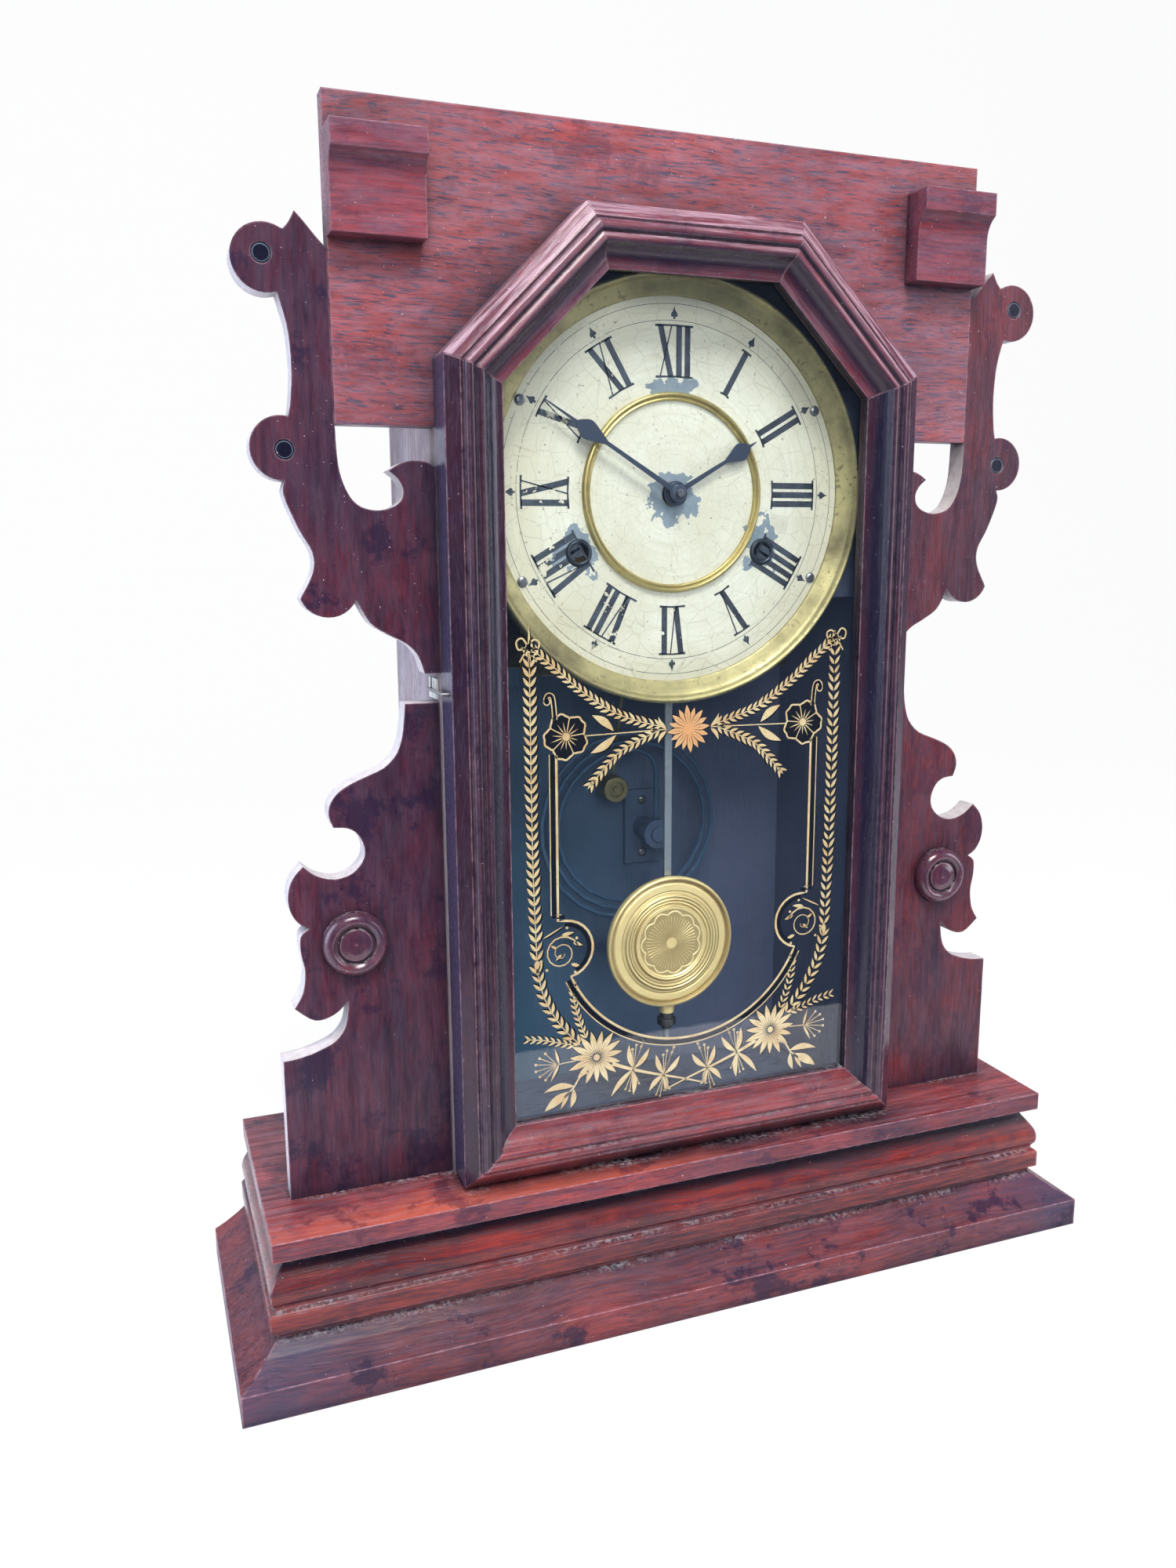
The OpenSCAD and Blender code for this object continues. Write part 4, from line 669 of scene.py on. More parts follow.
# leaves in pairs along a stem
garland_tree, stem_in, stem_out = group("Geometry", "leaves_along_stem", {
    "Stem": ("Geometry", None), "Leaf": ("Object", None), "Gap": ("Float", 0.0028), "Size": ("Float", 0.004),
    "Spread": ("Float", 0.6), "Seed": ("Int", 4), "Finish": ("Material", None),
}, {"Leaves": "Geometry"})
spaced = add("GeometryNodeCurveToPoints", {"Curve": stem_in["Stem"], "Length": stem_in["Gap"]},
             mode="LENGTH").outputs
stem_way = axes_of(spaced["Tangent"])
stem_turn = reckon("ARCTAN2", stem_way[2], stem_way[0])
leaf_shape = add("GeometryNodeObjectInfo", {"Object": stem_in["Leaf"]}).outputs["Geometry"]
leaf_scale = uneven_size(stem_in, 0.9, 1.08)
both_sides = garland_tree.nodes.new("GeometryNodeJoinGeometry")
for side in (1, -1):
    opened = scaled(stem_in["Spread"], side, stem_turn)
    feed(both_sides, {0: placed(spaced["Points"], leaf_shape, opened, leaf_scale)})
end_tree(both_sides.outputs[0], stem_in["Finish"], stem_out)

# petals in a ring round each middle
petal_tree, ring_in, ring_out = group("Geometry", "petals_round_middle", {
    "Middles": ("Geometry", None), "Petal": ("Object", None), "Count": ("Int", 15), "Inner": ("Float", 0.001),
    "Size": ("Float", 0.01), "Start": ("Float", 0.0), "Uneven": ("Float", 0.08), "Seed": ("Int", 2),
    "Finish": ("Material", None),
}, {"Petals": "Geometry"})
ring = add("GeometryNodeMeshCircle", {"Vertices": ring_in["Count"], "Radius": ring_in["Inner"]})
stood = add("GeometryNodeTransform", {
    "Geometry": ring.outputs[0], "Rotation": (math.radians(90), 0.0, 0.0),
}).outputs[0]
ring_place = axes_of(petal_tree.nodes.new("GeometryNodeInputPosition").outputs[0])
petal_turn = reckon("ARCTAN2", ring_place[2], ring_place[0])
smallest = less(1.0, ring_in["Uneven"])
largest = plus(1.0, ring_in["Uneven"])
petal_scale = uneven_size(ring_in, smallest, largest)
petal_shape = add("GeometryNodeObjectInfo", {"Object": ring_in["Petal"]}).outputs["Geometry"]
petals = placed(stood, petal_shape, petal_turn, petal_scale)
rings_placed = placed(ring_in["Middles"], petals, ring_in["Start"])
end_tree(rings_placed, ring_in["Finish"], ring_out)


def grown(base_data, tree, values):
    """The plain mesh that a geometry tree makes from a base, with each named input set first."""
    base = bpy.data.objects.new("base_of_repeat", base_data)
    bpy.context.scene.collection.objects.link(base)
    modifier = base.modifiers.new("repeat", "NODES")
    modifier.node_group = tree
    for item in tree.interface.items_tree:
        if item.item_type == "SOCKET" and item.in_out == "INPUT" and item.name in values:
            modifier[item.identifier] = values[item.name]
    looked_at = bpy.context.evaluated_depsgraph_get()
    shape = bpy.data.meshes.new_from_object(base.evaluated_get(looked_at), depsgraph=looked_at)
    base.modifiers.remove(modifier)
    bpy.data.objects.remove(base)
    return shape


def unit_shape(name, outline):
    """One leaf or petal, one unit long along X, as an object that a tree repeats."""
    shapes = bmesh.new()
    slab(shapes, [(x, 0.0, z) for x, z in outline], [(x, foil / 1000, z) for x, z in outline])
    return bpy.data.objects.new(name, as_mesh(name, shapes))


def stems(paths, y):
    """Curves along smooth paths at one depth, for the garland tree."""
    data = bpy.data.curves.new("stems", "CURVE")
    data.dimensions = "3D"
    for path in paths:
        line = smooth(path, 10)
        spline = data.splines.new("POLY")
        spline.points.add(len(line) - 1)
        for point, (x, z) in zip(spline.points, line):
            point.co = (*spot(x, y, z), 1.0)
    return data


def middles(points, y):
    """Loose points at one depth, for the petal tree."""
    mesh = bpy.data.meshes.new("middles")
    mesh.from_pydata([spot(x, y, z) for x, z in points], [], [])
    return mesh


def joined(name, meshes):
    """Several plain meshes of one material as one."""
    whole = bmesh.new()
    for mesh in meshes:
        whole.from_mesh(mesh)
    return as_mesh(name, whole, outward=False)


gilt, gilt_shader, gilt_place = material("gilt_leaf")
gilt_cloud = noise(gilt_place, 130.0, 4.0, 0.6)
gilt_fine = noise(gilt_place, 1400.0, 2.0, 0.5)
gilt_tone = mix(between(gilt_cloud, 0.35, 0.65), stain(216, 192, 144), stain(194, 158, 108))
rosette = (0, 246.8)
copper_away = vectors("DISTANCE", gilt_place, spot(rosette[0], gilt_y, rosette[1]))["Value"]
copper_share = times(between(copper_away, 0.0104, 0.0094), between(copper_away, 0.011, 0.002, 0.4, 0.8))
gilt_tone = mix(copper_share, gilt_tone, stain(212, 144, 88))
gilt_tone = mix(between(gilt_fine, 0.6, 0.72, 0.0, 0.4), gilt_tone, stain(150, 100, 62))
feed(gilt_shader, {
    "Base Color": gilt_tone,
    "Roughness": between(gilt_cloud, 0.3, 0.7, 0.4, 0.6),
    "Metallic": 0.2,
    "Alpha": between(noise(gilt_place, 420.0, 3.0, 0.6), 0.27, 0.3),
})
black_line, black_shader, black_place = material("black_paint")
black_cloud = noise(black_place, 200.0, 3.0)
feed(black_shader, {
    "Base Color": mix(black_cloud, stain(3, 4, 9), stain(10, 12, 20)),
    "Roughness": between(noise(black_place, 90.0), 0.3, 0.7, 0.4, 0.65),
    "Specular IOR Level": 0.05,
})

gilt_layers = []
black_layers = []


def gild(outline):
    """Adds a gilt shape to the tablet."""
    gilt_layers.append((outline, gilt_y))


def blacken(outline, y=black_y):
    """Adds a black shape, behind the gilt unless y puts it in front."""
    black_layers.append((outline, y))


def gild_leaf(side, foot, tip, width, belly=0.4, bend=0.0):
    """A gilt leaf on one side, with its black shadow under it."""
    foot, tip = mirrored((foot, tip), side)
    gild(leaf(foot, tip, width, belly, side * bend))
    foot, tip = ((x + 0.35, z - 0.35) for x, z in (foot, tip))
    blacken(leaf(foot, tip, width + 0.5, belly, side * bend))


def gild_line(side, points, width, end_share=1.0):
    """A gilt line on one side."""
    gild(ribbon(mirrored(points, side), width, end_share))


def gild_curve(side, points, width):
    """A gilt line on one side, smooth through the points."""
    gild(ribbon(smooth(mirrored(points, side), 5), width))


def gild_dot(side, middle, radius):
    """A gilt dot on one side."""
    gild(disc((side * middle[0], middle[1]), radius))


garland_stems = []
edge_stems = []
sprig_stems = []
for side in (-1, 1):
    for stem_list, path in (
        (garland_stems, [(12.5, 248.4), (31, 254.4), (46.7, 264.5), (56, 272.5), (66.5, 281.2)]),
        (garland_stems, [(13, 246.9), (22, 243.4), (31.5, 238.4), (42, 227.6)]),
        (edge_stems, [(66.6, 156), (67.6, 190), (67.9, 225), (67.9, 278)]),
        (edge_stems, [(48.5, 117.5), (57, 127.5), (63.5, 139.5), (66.2, 150.5)]),
        (sprig_stems, [(45.6, 120), (48.3, 127), (50.3, 134), (51.3, 141.5)]),
        (sprig_stems, [(51, 117.6), (58, 119.8), (64, 121.7), (70, 122.9)]),
    ):
        stem_list.append(mirrored(path, side))
    # stems under the leaves; the right edge and its sprigs have none, their leaves hide the place
    for path in (garland_stems + edge_stems + sprig_stems)[:6]:
        if path[0][0] * side > 0:
            line = smooth(path, 8)
            gild(ribbon(line, 0.4))
            tip = (line[-1][0] * 4 - line[-2][0] * 3, line[-1][1] * 4 - line[-2][1] * 3)
            gild_leaf(1, line[-2], tip, 1.3)
    gild(leaf((side * 66.2, 150.6), (side * 66.6, 156.6), 2.6, 0.6))
    # bow where the garland meets the edge stem
    for dx, dz in ((-4.6, 2.4), (4.6, 3.0)):
        gild_curve(side, [(68.4, 282.6), (68.4 + dx * 0.5, 282.4 + dz * 1.1), (68.4 + dx, 282.6 + dz * 0.6),
                          (68.4 + dx * 0.8, 281.4), (68.4, 282.4)], 0.7)
        gild_curve(side, [(68.4, 282.4), (68.4 + dx * 0.35, 279.6), (68.4 + dx * 0.75, 276.6)], 0.6)
    gild_dot(side, (68.4, 282.5), 1.0)
    # black flower of five lobes with a gilt edge, and a curled stalk above it
    flower = (side * 53.2, 246.7)
    rim = []
    for k in range(120):
        way = 2 * math.pi * k / 120
        lobe = abs(math.sin(2.5 * (way - math.pi / 2 - side * 0.2)))
        reach = 6.6 + 2.6 * lobe ** 0.5 + 0.25 * math.sin(15 * way)
        rim.append((flower[0] + reach * math.cos(way), flower[1] + reach * math.sin(way)))
    blacken(rim)
    gild(ribbon(rim + rim[:2], 0.75))
    for k in range(5):
        way = math.pi / 2 + side * 0.2 + 2 * math.pi * k / 5
        gild(ribbon([(flower[0] + reach * math.cos(way), flower[1] + reach * math.sin(way))
                     for reach in (2.0, 7.0)], 0.4))
    stalk = [(57.8, 253.6), (58.2, 259), (58.8, 262.6), (60.4, 263.4), (61.4, 262), (61.0, 260.9)]
    stalk_line = smooth(mirrored(stalk, side), 6)
    gild(ribbon(stalk_line, 2.1))
    blacken(ribbon(stalk_line, 1.2), line_y)
    gild_dot(side, (61.0, 260.8), 1.5)
    blacken(disc((side * 61.0, 260.8), 1.0), line_y)
    # twig from the rosette to the flower, with its leaves
    gild_line(side, [(10, 247.2), (45, 246.6)], 0.45)
    for foot, tip, width, belly, bend in (
        ((33, 247.8), (42.2, 254.6), 3.2, 0.5, 0.8), ((32, 246.2), (43, 239.4), 3.2, 0.5, -0.8),
        ((10, 247.4), (13.6, 252.6), 1.7, 0.4, -0.7), ((10, 246.6), (13.6, 241.6), 1.7, 0.4, 0.7),
    ):
        gild_leaf(side, foot, tip, width, belly, bend)

# frame round the pendulum: a gilt line, a black band and a hair line
bulge_middle = (54.5, 159.5)
bulge_r = 12.1
bulge_step = 14
frame_line = [(57.4, 239.5), (57.4, 171.6)]
for k in range(0, 13):
    way = math.radians(90 + k * bulge_step)
    frame_line.append((bulge_middle[0] + bulge_r * math.cos(way), bulge_middle[1] + bulge_r * math.sin(way)))
arc_low = 113.6
half_span = frame_line[-1][0]
rise = frame_line[-1][1] - arc_low
arc_r = (half_span ** 2 + rise ** 2) / (2 * rise)
swing = math.asin(half_span / arc_r)


def under_bob(extra, share):
    """The arc under the bob, moved out from the first line by extra."""
    ways = [swing * share * (1 - k / 28) for k in range(29)]
    return [((arc_r + extra) * math.sin(w), arc_low + arc_r - (arc_r + extra) * math.cos(w)) for w in ways]


def round_bulge(radius):
    """The bulge of the frame at a radius."""
    ways = [math.radians(90 + k * bulge_step) for k in range(12)]
    return [(bulge_middle[0] + radius * math.cos(w), bulge_middle[1] + radius * math.sin(w)) for w in ways]


for side in (-1, 1):
    gild_line(side, frame_line + under_bob(0, 1.0)[1:], 1.0)
    for path, width in (([(59.0, 240), (59.0, 173.2), (54.5, 173.2)], 1.8), (round_bulge(10.5), 1.8),
                        (under_bob(1.7, 0.985), 1.9)):
        blacken(ribbon(mirrored(path, side), width), gilt_y)
    gild_line(side, [(60.3, 240), (60.3, 174.4), (56, 174.4)], 0.4)
    gild_line(side, under_bob(3.0, 0.985), 0.45)
    # tendril curled inside the bulge
    spiral = []
    for k in range(0, 30):
        way = math.radians(160 - 24 * k)
        reach = 7.6 - 0.22 * k
        spiral.append((56 + reach * math.cos(way), 158 + reach * math.sin(way)))
    gild_line(side, spiral, 0.7, 0.3)
    for foot, tip, width in (
        ((64, 165), (55, 169.5), 0.7), ((56, 165.6), (50.5, 166.4), 1.6), ((51, 162), (46.8, 160.4), 1.5),
        ((52, 153), (47.6, 151.5), 1.5), ((58, 160), (60.6, 161.8), 1.2), ((56, 157.5), (58.6, 155.2), 1.2),
    ):
        gild_leaf(side, foot, tip, width)
    for dot in ((53.6, 168.6), (49.4, 163.8), (62.4, 151.6), (64.8, 155.6), (50.2, 149.4)):
        gild_dot(side, dot, 0.6)
    # umbel beyond the daisy
    gild_line(side, [(50.5, 110.8), (58, 110.4)], 0.4)
    for turn in (-50, -30, -10, 10, 30, 50):
        way = math.radians(turn)
        reach = 10.2 - 0.03 * abs(turn)
        tip = (58 + reach * math.cos(way), 110.2 + reach * 0.86 * math.sin(way))
        gild_line(side, [(58.5, 110.3), tip], 0.28)
        gild_dot(side, tip, 0.6)
    for tip in ((59.4, 117.4), (61.4, 103.2)):
        gild_leaf(side, (57.6, 110.4), tip, 1.1)
    # leaves below the daisy
    gild_curve(side, [(44.5, 105), (48.5, 103.2), (51.6, 98.8), (55.5, 95.6)], 0.7)
    for foot, tip, width, belly, bend in (
        ((51, 99.6), (64.4, 98.9), 2.8, 0.45, 1.3), ((52.6, 97.6), (64.2, 90.6), 4.0, 0.5, 0.6),
        ((51.4, 98.6), (52.8, 90.2), 2.4, 0.5, -0.7), ((53.4, 97), (57.2, 90.4), 1.6, 0.5, 0.0),
    ):
        gild_leaf(side, foot, tip, width, belly, bend)
    # branch to the middle with its two sprays
    branch = smooth(mirrored([(34, 106.8), (25, 102.9), (14, 99), (2, 95.2), (-10.5, 90.8)], side), 6)
    gild(ribbon(branch, 1.6, 0.3))
    blacken(ribbon([(x + 0.3, z - 0.5) for x, z in branch], 2.0, 0.4))
    for root, tips in (
        ((24.4, 103), ((16.9, 111.3), (26.4, 114), (34.6, 92.2), (24.5, 91.2))),
        ((10.2, 98.2), ((2.8, 105.6), (13.9, 107.6), (17.2, 91.6), (9.4, 90.2))),
    ):
        for tip, bend in zip(tips, (0.9, -0.7, 0.8, -0.6)):
            gild_leaf(side, root, tip, 2.3, 0.5, bend)
        for dx, dz, radius in (
            (-3.6, 10.2 * 0.92, 0.62), (-1.4, 11.4 * 0.92, 0.62), (-4.6, 12.6 * 0.92, 0.62),
            (0.4, 9.6 * 0.92, 0.62), (3.6, -8.6, 0.5), (1.8, -9.6, 0.5), (-2.6, -7, 0.5),
        ):
            tip = (root[0] + dx, root[1] + dz)
            gild_line(side, [root, tip], 0.3)
            gild_dot(side, tip, radius)

petal_shapes = {}
for name, foot, tip, width, belly in (
    ("garland_leaf", (0.08, 0), (1, 0), 0.27, 0.42),
    ("garland_shade", (0.02, -0.05), (1.06, -0.08), 0.45, 0.42),
    ("daisy_petal", (0, 0), (1, 0), 0.235, 0.52), ("rosette_petal", (0, 0), (1, 0), 0.27, 0.55),
    ("rosette_shade", (0, 0), (1.04, 0), 0.34, 0.55), ("daisy_shade", (0, 0), (1.05, 0), 0.31, 0.52),
    ("fine_line", (0, 0), (1, 0), 0.036, 0.3), ("ray_shape", (0, 0), (1, 0), 0.1, 0.3),
):
    petal_shapes[name] = unit_shape(name, leaf(foot, tip, width, belly))
gilt_parts = []
black_parts = []
for paths, gap, size in ((garland_stems, 2.9, 4.3), (edge_stems, 3.7, 5.2), (sprig_stems, 2.6, 3.6)):
    for name, y, finish, parts in (
        ("garland_leaf", gilt_y, gilt, gilt_parts), ("garland_shade", black_y, black_line, black_parts),
    ):
        parts.append(grown(stems(paths, y), garland_tree, {
            "Leaf": petal_shapes[name], "Gap": gap / 1000, "Size": size / 1000, "Spread": math.radians(33),
            "Finish": finish,
        }))
daisies = [(-41, 110.8), (41, 110.8)]
flowers = [(-53.2, 246.7), (53.2, 246.7)]
for points, name, y, count, inner, size, uneven_share, finish, parts in (
    (daisies, "daisy_petal", gilt_y, 15, 1.5, 10.6, 0.1, gilt, gilt_parts),
    (daisies, "daisy_shade", black_y, 15, 1.2, 10.9, 0.1, black_line, black_parts),
    (daisies, "fine_line", line_y, 15, 1.7, 5.6, 0.2, black_line, black_parts),
    ([rosette], "rosette_petal", gilt_y, 8, 1.0, 8.8, 0.05, gilt, gilt_parts),
    ([rosette], "rosette_shade", gilt_y + 0.035, 8, 1.0, 8.8, 0.05, black_line, black_parts),
    ([rosette], "rosette_petal", gilt_y + 0.07, 16, 1.0, 8.2, 0.05, gilt, gilt_parts),
    ([rosette], "fine_line", line_y, 8, 3.6, 3.6, 0.1, black_line, black_parts),
    (flowers, "ray_shape", line_y, 15, 1.4, 4.6, 0.2, gilt, gilt_parts),
):
    parts.append(grown(middles(points, y), petal_tree, {
        "Petal": petal_shapes[name], "Count": count, "Inner": inner / 1000, "Size": size / 1000,
        "Uneven": uneven_share, "Start": 0.1, "Finish": finish,
    }))
for middle in daisies:
    gild(disc(middle, 1.4, 16))
    blacken(ribbon(disc(middle, 1.7, 24) + disc(middle, 1.7, 24)[:1], 0.3), line_y)
for middle in flowers:
    gilt_layers.append((disc(middle, 1.6, 16), line_y - 0.005))
gilt_layers.append((disc(rosette, 2.4, 24), line_y))
gilt_parts.append(flat_shapes("gilt_drawn", gilt_layers))
black_parts.append(flat_shapes("black_drawn", black_layers))
lay_on("gilt_ornament", joined("gilt_ornament", gilt_parts), gilt, "door")
lay_on("black_ornament", joined("black_ornament", black_parts), black_line, "door")

# Dial: thin zinc sheet painted cream, screwed to blocks in the case; Roman hour figures and two
# minute rings printed on it. Its paint is crazed outwards from the middle, and rubbed off to the
# grey metal at the hands' boss, at both winding holes and under the top figure.
dial_z = 341
dial_y = 7
paint, paint_shader, paint_place = material("dial_enamel")
dial_x, _, dial_height = axes_of(paint_place)
dial_up = less(dial_height, dial_z / 1000)
far_out = from_middle(dial_x, dial_up)
not_nil = larger(far_out, 0.0001)
side_share = reckon("DIVIDE", dial_x, not_nil)
up_share = reckon("DIVIDE", dial_up, not_nil)


def round_dial(rays, rounds):
    """A place that runs round the dial and outwards from its middle, for patterns that do the same."""
    return add("ShaderNodeCombineXYZ", {
        0: times(side_share, rays), 1: times(up_share, rays), 2: times(far_out, rounds),
    }).outputs[0]


def crazed(vector, scale, wide, narrow):
    """1 on the cracks between cells."""
    links = {"Vector": vector, "Scale": scale}
    away = add("ShaderNodeTexVoronoi", links, feature="DISTANCE_TO_EDGE").outputs["Distance"]
    return between(away, wide, narrow)


fine_craze = times(crazed(paint_place, 170.0, 0.03, 0.01), 0.3)
craze_line = larger(crazed(round_dial(7.0, 130.0), 1.0, 0.03, 0.008), fine_craze)
age = noise(paint_place, 26.0, 4.0, 0.6)
brushed = noise(round_dial(1.5, 900.0), 1.0, 3.0, 0.6)
fleck = noise(paint_place, 620.0, 2.0, 0.5)
cream = mix(between(age, 0.35, 0.68), stain(220, 217, 198), stain(200, 194, 170))
for share, tone in (
    (between(far_out, 0.052, 0.077, 0.0, 0.45), stain(196, 184, 148)),
    (between(brushed, 0.4, 0.65, 0.0, 0.3), stain(190, 182, 150)),
    (between(fleck, 0.68, 0.74, 0.0, 0.7), stain(120, 104, 76)),
    (times(craze_line, 0.24), stain(140, 128, 104)),
):
    cream = mix(share, cream, tone)


def rubbed_through(x, z, size):
    """1 where the paint is gone round a point of the dial, with a ragged edge."""
    away = from_middle(less(dial_x, x / 1000), less(dial_up, z / 1000))
    ragged = scaled(noise(paint_place, 130.0, 3.0, 0.6), 0.024, -0.012)
    return between(plus(away, ragged), (size + 0.0011) / 1000, size / 1000)


bare = rubbed_through(0, -1, 10.5)
for x, z, size in ((-41.5, -22.6, 8.8), (41, -22.5, 7.6), (38, -15, 5.4), (-6, 42.2, 3.4), (0, 42.8, 3.0),
                   (6, 42.2, 3.2)):
    bare = larger(bare, rubbed_through(x, z, size))
zinc = mix(noise(paint_place, 240.0, 4.0, 0.6), stain(92, 106, 116), stain(142, 152, 156))
crack_depth = scaled(craze_line, -0.5, times(bare, -1.0))
feed(paint_shader, {
    "Base Color": mix(bare, cream, zinc),
    "Roughness": scaled(bare, 0.15, 0.34),
    "Normal": bumped(crack_depth, 0.25, 0.0003),
})
finish_with(paint, "dial_plate")

print_ink, ink_shader, ink_place = material("dial_ink")
ink_wear = noise(ink_place, 210.0, 4.0, 0.62)
left_worse = between(axes_of(ink_place)[0], 0.03, -0.07, 0.32, 0.435)
ink_edge = less(ink_wear, left_worse)
feed(ink_shader, {
    "Base Color": mix(between(ink_wear, 0.4, 0.65), stain(30, 34, 42), stain(58, 66, 76)),
    "Roughness": between(ink_wear, 0.3, 0.7, 0.4, 0.6),
    "Alpha": between(ink_edge, -0.004, 0.004),
})

ink_y = dial_y - foil
foot_r = 45.5
head_r = 65
ink_layers = []


def on_dial(hour, across, out):
    """A point of the figure for an hour: across to the right of its middle, out from the centre."""
    way = math.radians(30 * hour)
    return (across * math.cos(way) + out * math.sin(way),
            dial_z - across * math.sin(way) + out * math.cos(way))


def print_on_dial(hour, corners):
    """One shape of a figure, given by its corners."""
    ink_layers.append(([on_dial(hour, across, out) for across, out in corners], ink_y))


def stroke(hour, foot, head, width):
    """One straight stroke of a figure, from its foot to its head."""
    half = width / 2
    print_on_dial(hour, [(foot - half, foot_r), (foot + half, foot_r), (head + half, head_r),
                         (head - half, head_r)])


def serif(hour, half, out):
    """A thin bar across the feet or heads."""
    print_on_dial(hour, [(-half, out - 0.7), (0.0, out - 0.25), (half, out - 0.7), (half, out + 0.25),
                         (0.0, out + 0.4), (-half, out + 0.25)])


letter_room = {"I": 3.7, "V": 7.2, "X": 8.0}
figures = ["XII", "I", "II", "III", "IIII", "V", "VI", "VII", "VIII", "IX", "X", "XI"]
for hour, figure_text in enumerate(figures):
    total = sum(letter_room[letter] for letter in figure_text)
    across = -total / 2
    for letter in figure_text:
        room = letter_room[letter]
        mid = across + room / 2
        if letter == "I":
            stroke(hour, mid, mid, 2.5)
        elif letter == "V":
            stroke(hour, mid + 0.3, mid - 2.2, 2.5)
            stroke(hour, mid + 0.5, mid + 2.6, 0.6)
        else:
            stroke(hour, mid + 2.3, mid - 2.3, 2.5)
            stroke(hour, mid - 2.3, mid + 2.6, 0.6)
        across += room
    serif(hour, total / 2 + 0.6, head_r)
    serif(hour, total / 2 + 0.3, foot_r)
    # spade outside the hour
    print_on_dial(hour, [(0, 72.2), (0.5, 70.6), (1.5, 69.2), (1.3, 68.3), (0.4, 68.2), (0.5, 67.4),
                         (-0.5, 67.4), (-0.4, 68.2), (-1.3, 68.3), (-1.5, 69.2), (-0.5, 70.6)])
for ring_r in (66.9, 73.2):
    for first in range(0, 360, 15):
        arc = [first + 2.5 * n for n in range(7)]
        rim = [(ring_r + 0.1, a) for a in arc] + [(ring_r - 0.1, a) for a in arc[::-1]]
        ink_layers.append(([(r * math.sin(math.radians(a)), dial_z + r * math.cos(math.radians(a)))
                            for r, a in rim], ink_y))
lay_on("dial_figures", flat_shapes("dial_figures", ink_layers), print_ink, "case")

# Bezel and inner ring: spun and stamped sheet brass, lacquered once and now spotted brown, bright
# where it has been rubbed. The bezel's foot is tacked to the blocks, the ring is turned over
# behind the dial.
brass_patina, patina_in, patina_out = group("Shader", "brass_patina", {
    "Vector": ("Vector", (0.0, 0.0, 0.0)), "Bright": ("Color", (0.8, 0.6, 0.2, 1.0)),
    "Tarnish": ("Color", (0.3, 0.2, 0.1, 1.0)), "Amount": ("Float", 0.5),
}, {"Colour": "Color", "Roughness": "Float", "Height": "Float"})
film = noise(patina_in["Vector"], 34.0, 5.0, 0.65)
freckle = noise(patina_in["Vector"], 420.0, 3.0, 0.6)
film_share = times(between(film, 0.4, 0.66), patina_in["Amount"])
freckle_share = times(between(freckle, 0.56, 0.68), patina_in["Amount"])
brown = larger(film_share, times(freckle_share, 0.8))
feed(patina_out, {
    "Colour": mix(brown, patina_in["Bright"], patina_in["Tarnish"]),
    "Roughness": scaled(brown, 0.22, 0.3),
    "Height": times(freckle, -0.3),
})


def brass(name, bright, tarnish, amount, dull=0.0, metal=0.9):
    """Sheet or cast brass with its brown film and freckles."""
    made, shader, place = material(name)
    film_parts = use(brass_patina, {
        "Vector": place, "Bright": stain(*bright), "Tarnish": stain(*tarnish), "Amount": amount,
    })
    edge = use(worn_edge, {"Vector": place, "Radius": 0.0004, "Break": 0.35})
    dirt_and_shade = use(grime_and_shade, {"Vector": place, "Reach": 0.003, "Amount": 0.6})
    colour = mix(edge["Mask"], film_parts["Colour"], stain(244, 224, 160))
    colour = mix(dirt_and_shade["Mask"], colour, stain(46, 34, 22))
    rough = plus(film_parts["Roughness"], dull)
    feed(shader, {
        "Base Color": colour,
        "Roughness": scaled(dirt_and_shade["Mask"], 0.4, rough),
        "Normal": bumped(film_parts["Height"], 0.15, 0.0002, edge["Normal"]),
        "Metallic": metal,
    })
    return made


finish_with(brass("bezel_brass", (160, 150, 106), (88, 80, 58), 0.9, dull=0.16, metal=0.75), "dial_bezel")
finish_with(brass("ring_brass", (200, 184, 122), (124, 106, 68), 0.6), "dial_inner_ring")

# Hands and eyelets: stamped steel, blued and now gone to a dull gunmetal with brown spots. The
# minute hand sits on a square with a washer and pin, the hour hand is pressed on its pipe, and the
# eyelets of the winding holes are turned over behind the dial.


def steel(name, tone, rust, amount, metal=0.9, rough=0.32):
    """Steel with a brushed surface and rust that starts in spots."""
    made, shader, place = material(name)
    spots = noise(place, 260.0, 5.0, 0.65)
    cloud_value = noise(place, 36.0, 4.0, 0.6)
    share = times(between(spots, 0.5, 0.66), amount)
    colour = mix(between(cloud_value, 0.3, 0.7, 0.0, 0.35), stain(*tone),
                 stain(*(int(v * 0.72) for v in tone)))
    colour = mix(share, colour, stain(*rust))
    edge = use(worn_edge, {"Vector": place, "Radius": 0.0002, "Break": 0.35})
    colour = mix(times(edge["Mask"], 0.5), colour, stain(196, 198, 202))
    feed(shader, {
        "Base Color": colour,
        "Roughness": scaled(share, 0.4, rough),
        "Normal": bumped(spots, 0.12, 0.0002, edge["Normal"]),
        "Metallic": metal,
    })
    return made


finish_with(steel("eyelet_steel", (48, 56, 64), (34, 36, 42), 0.6, 0.7), "winding_grommets")
finish_with(steel("hand_steel", (62, 72, 88), (74, 62, 58), 0.4, 0.6, 0.4), "minute_hand", "hour_hand")

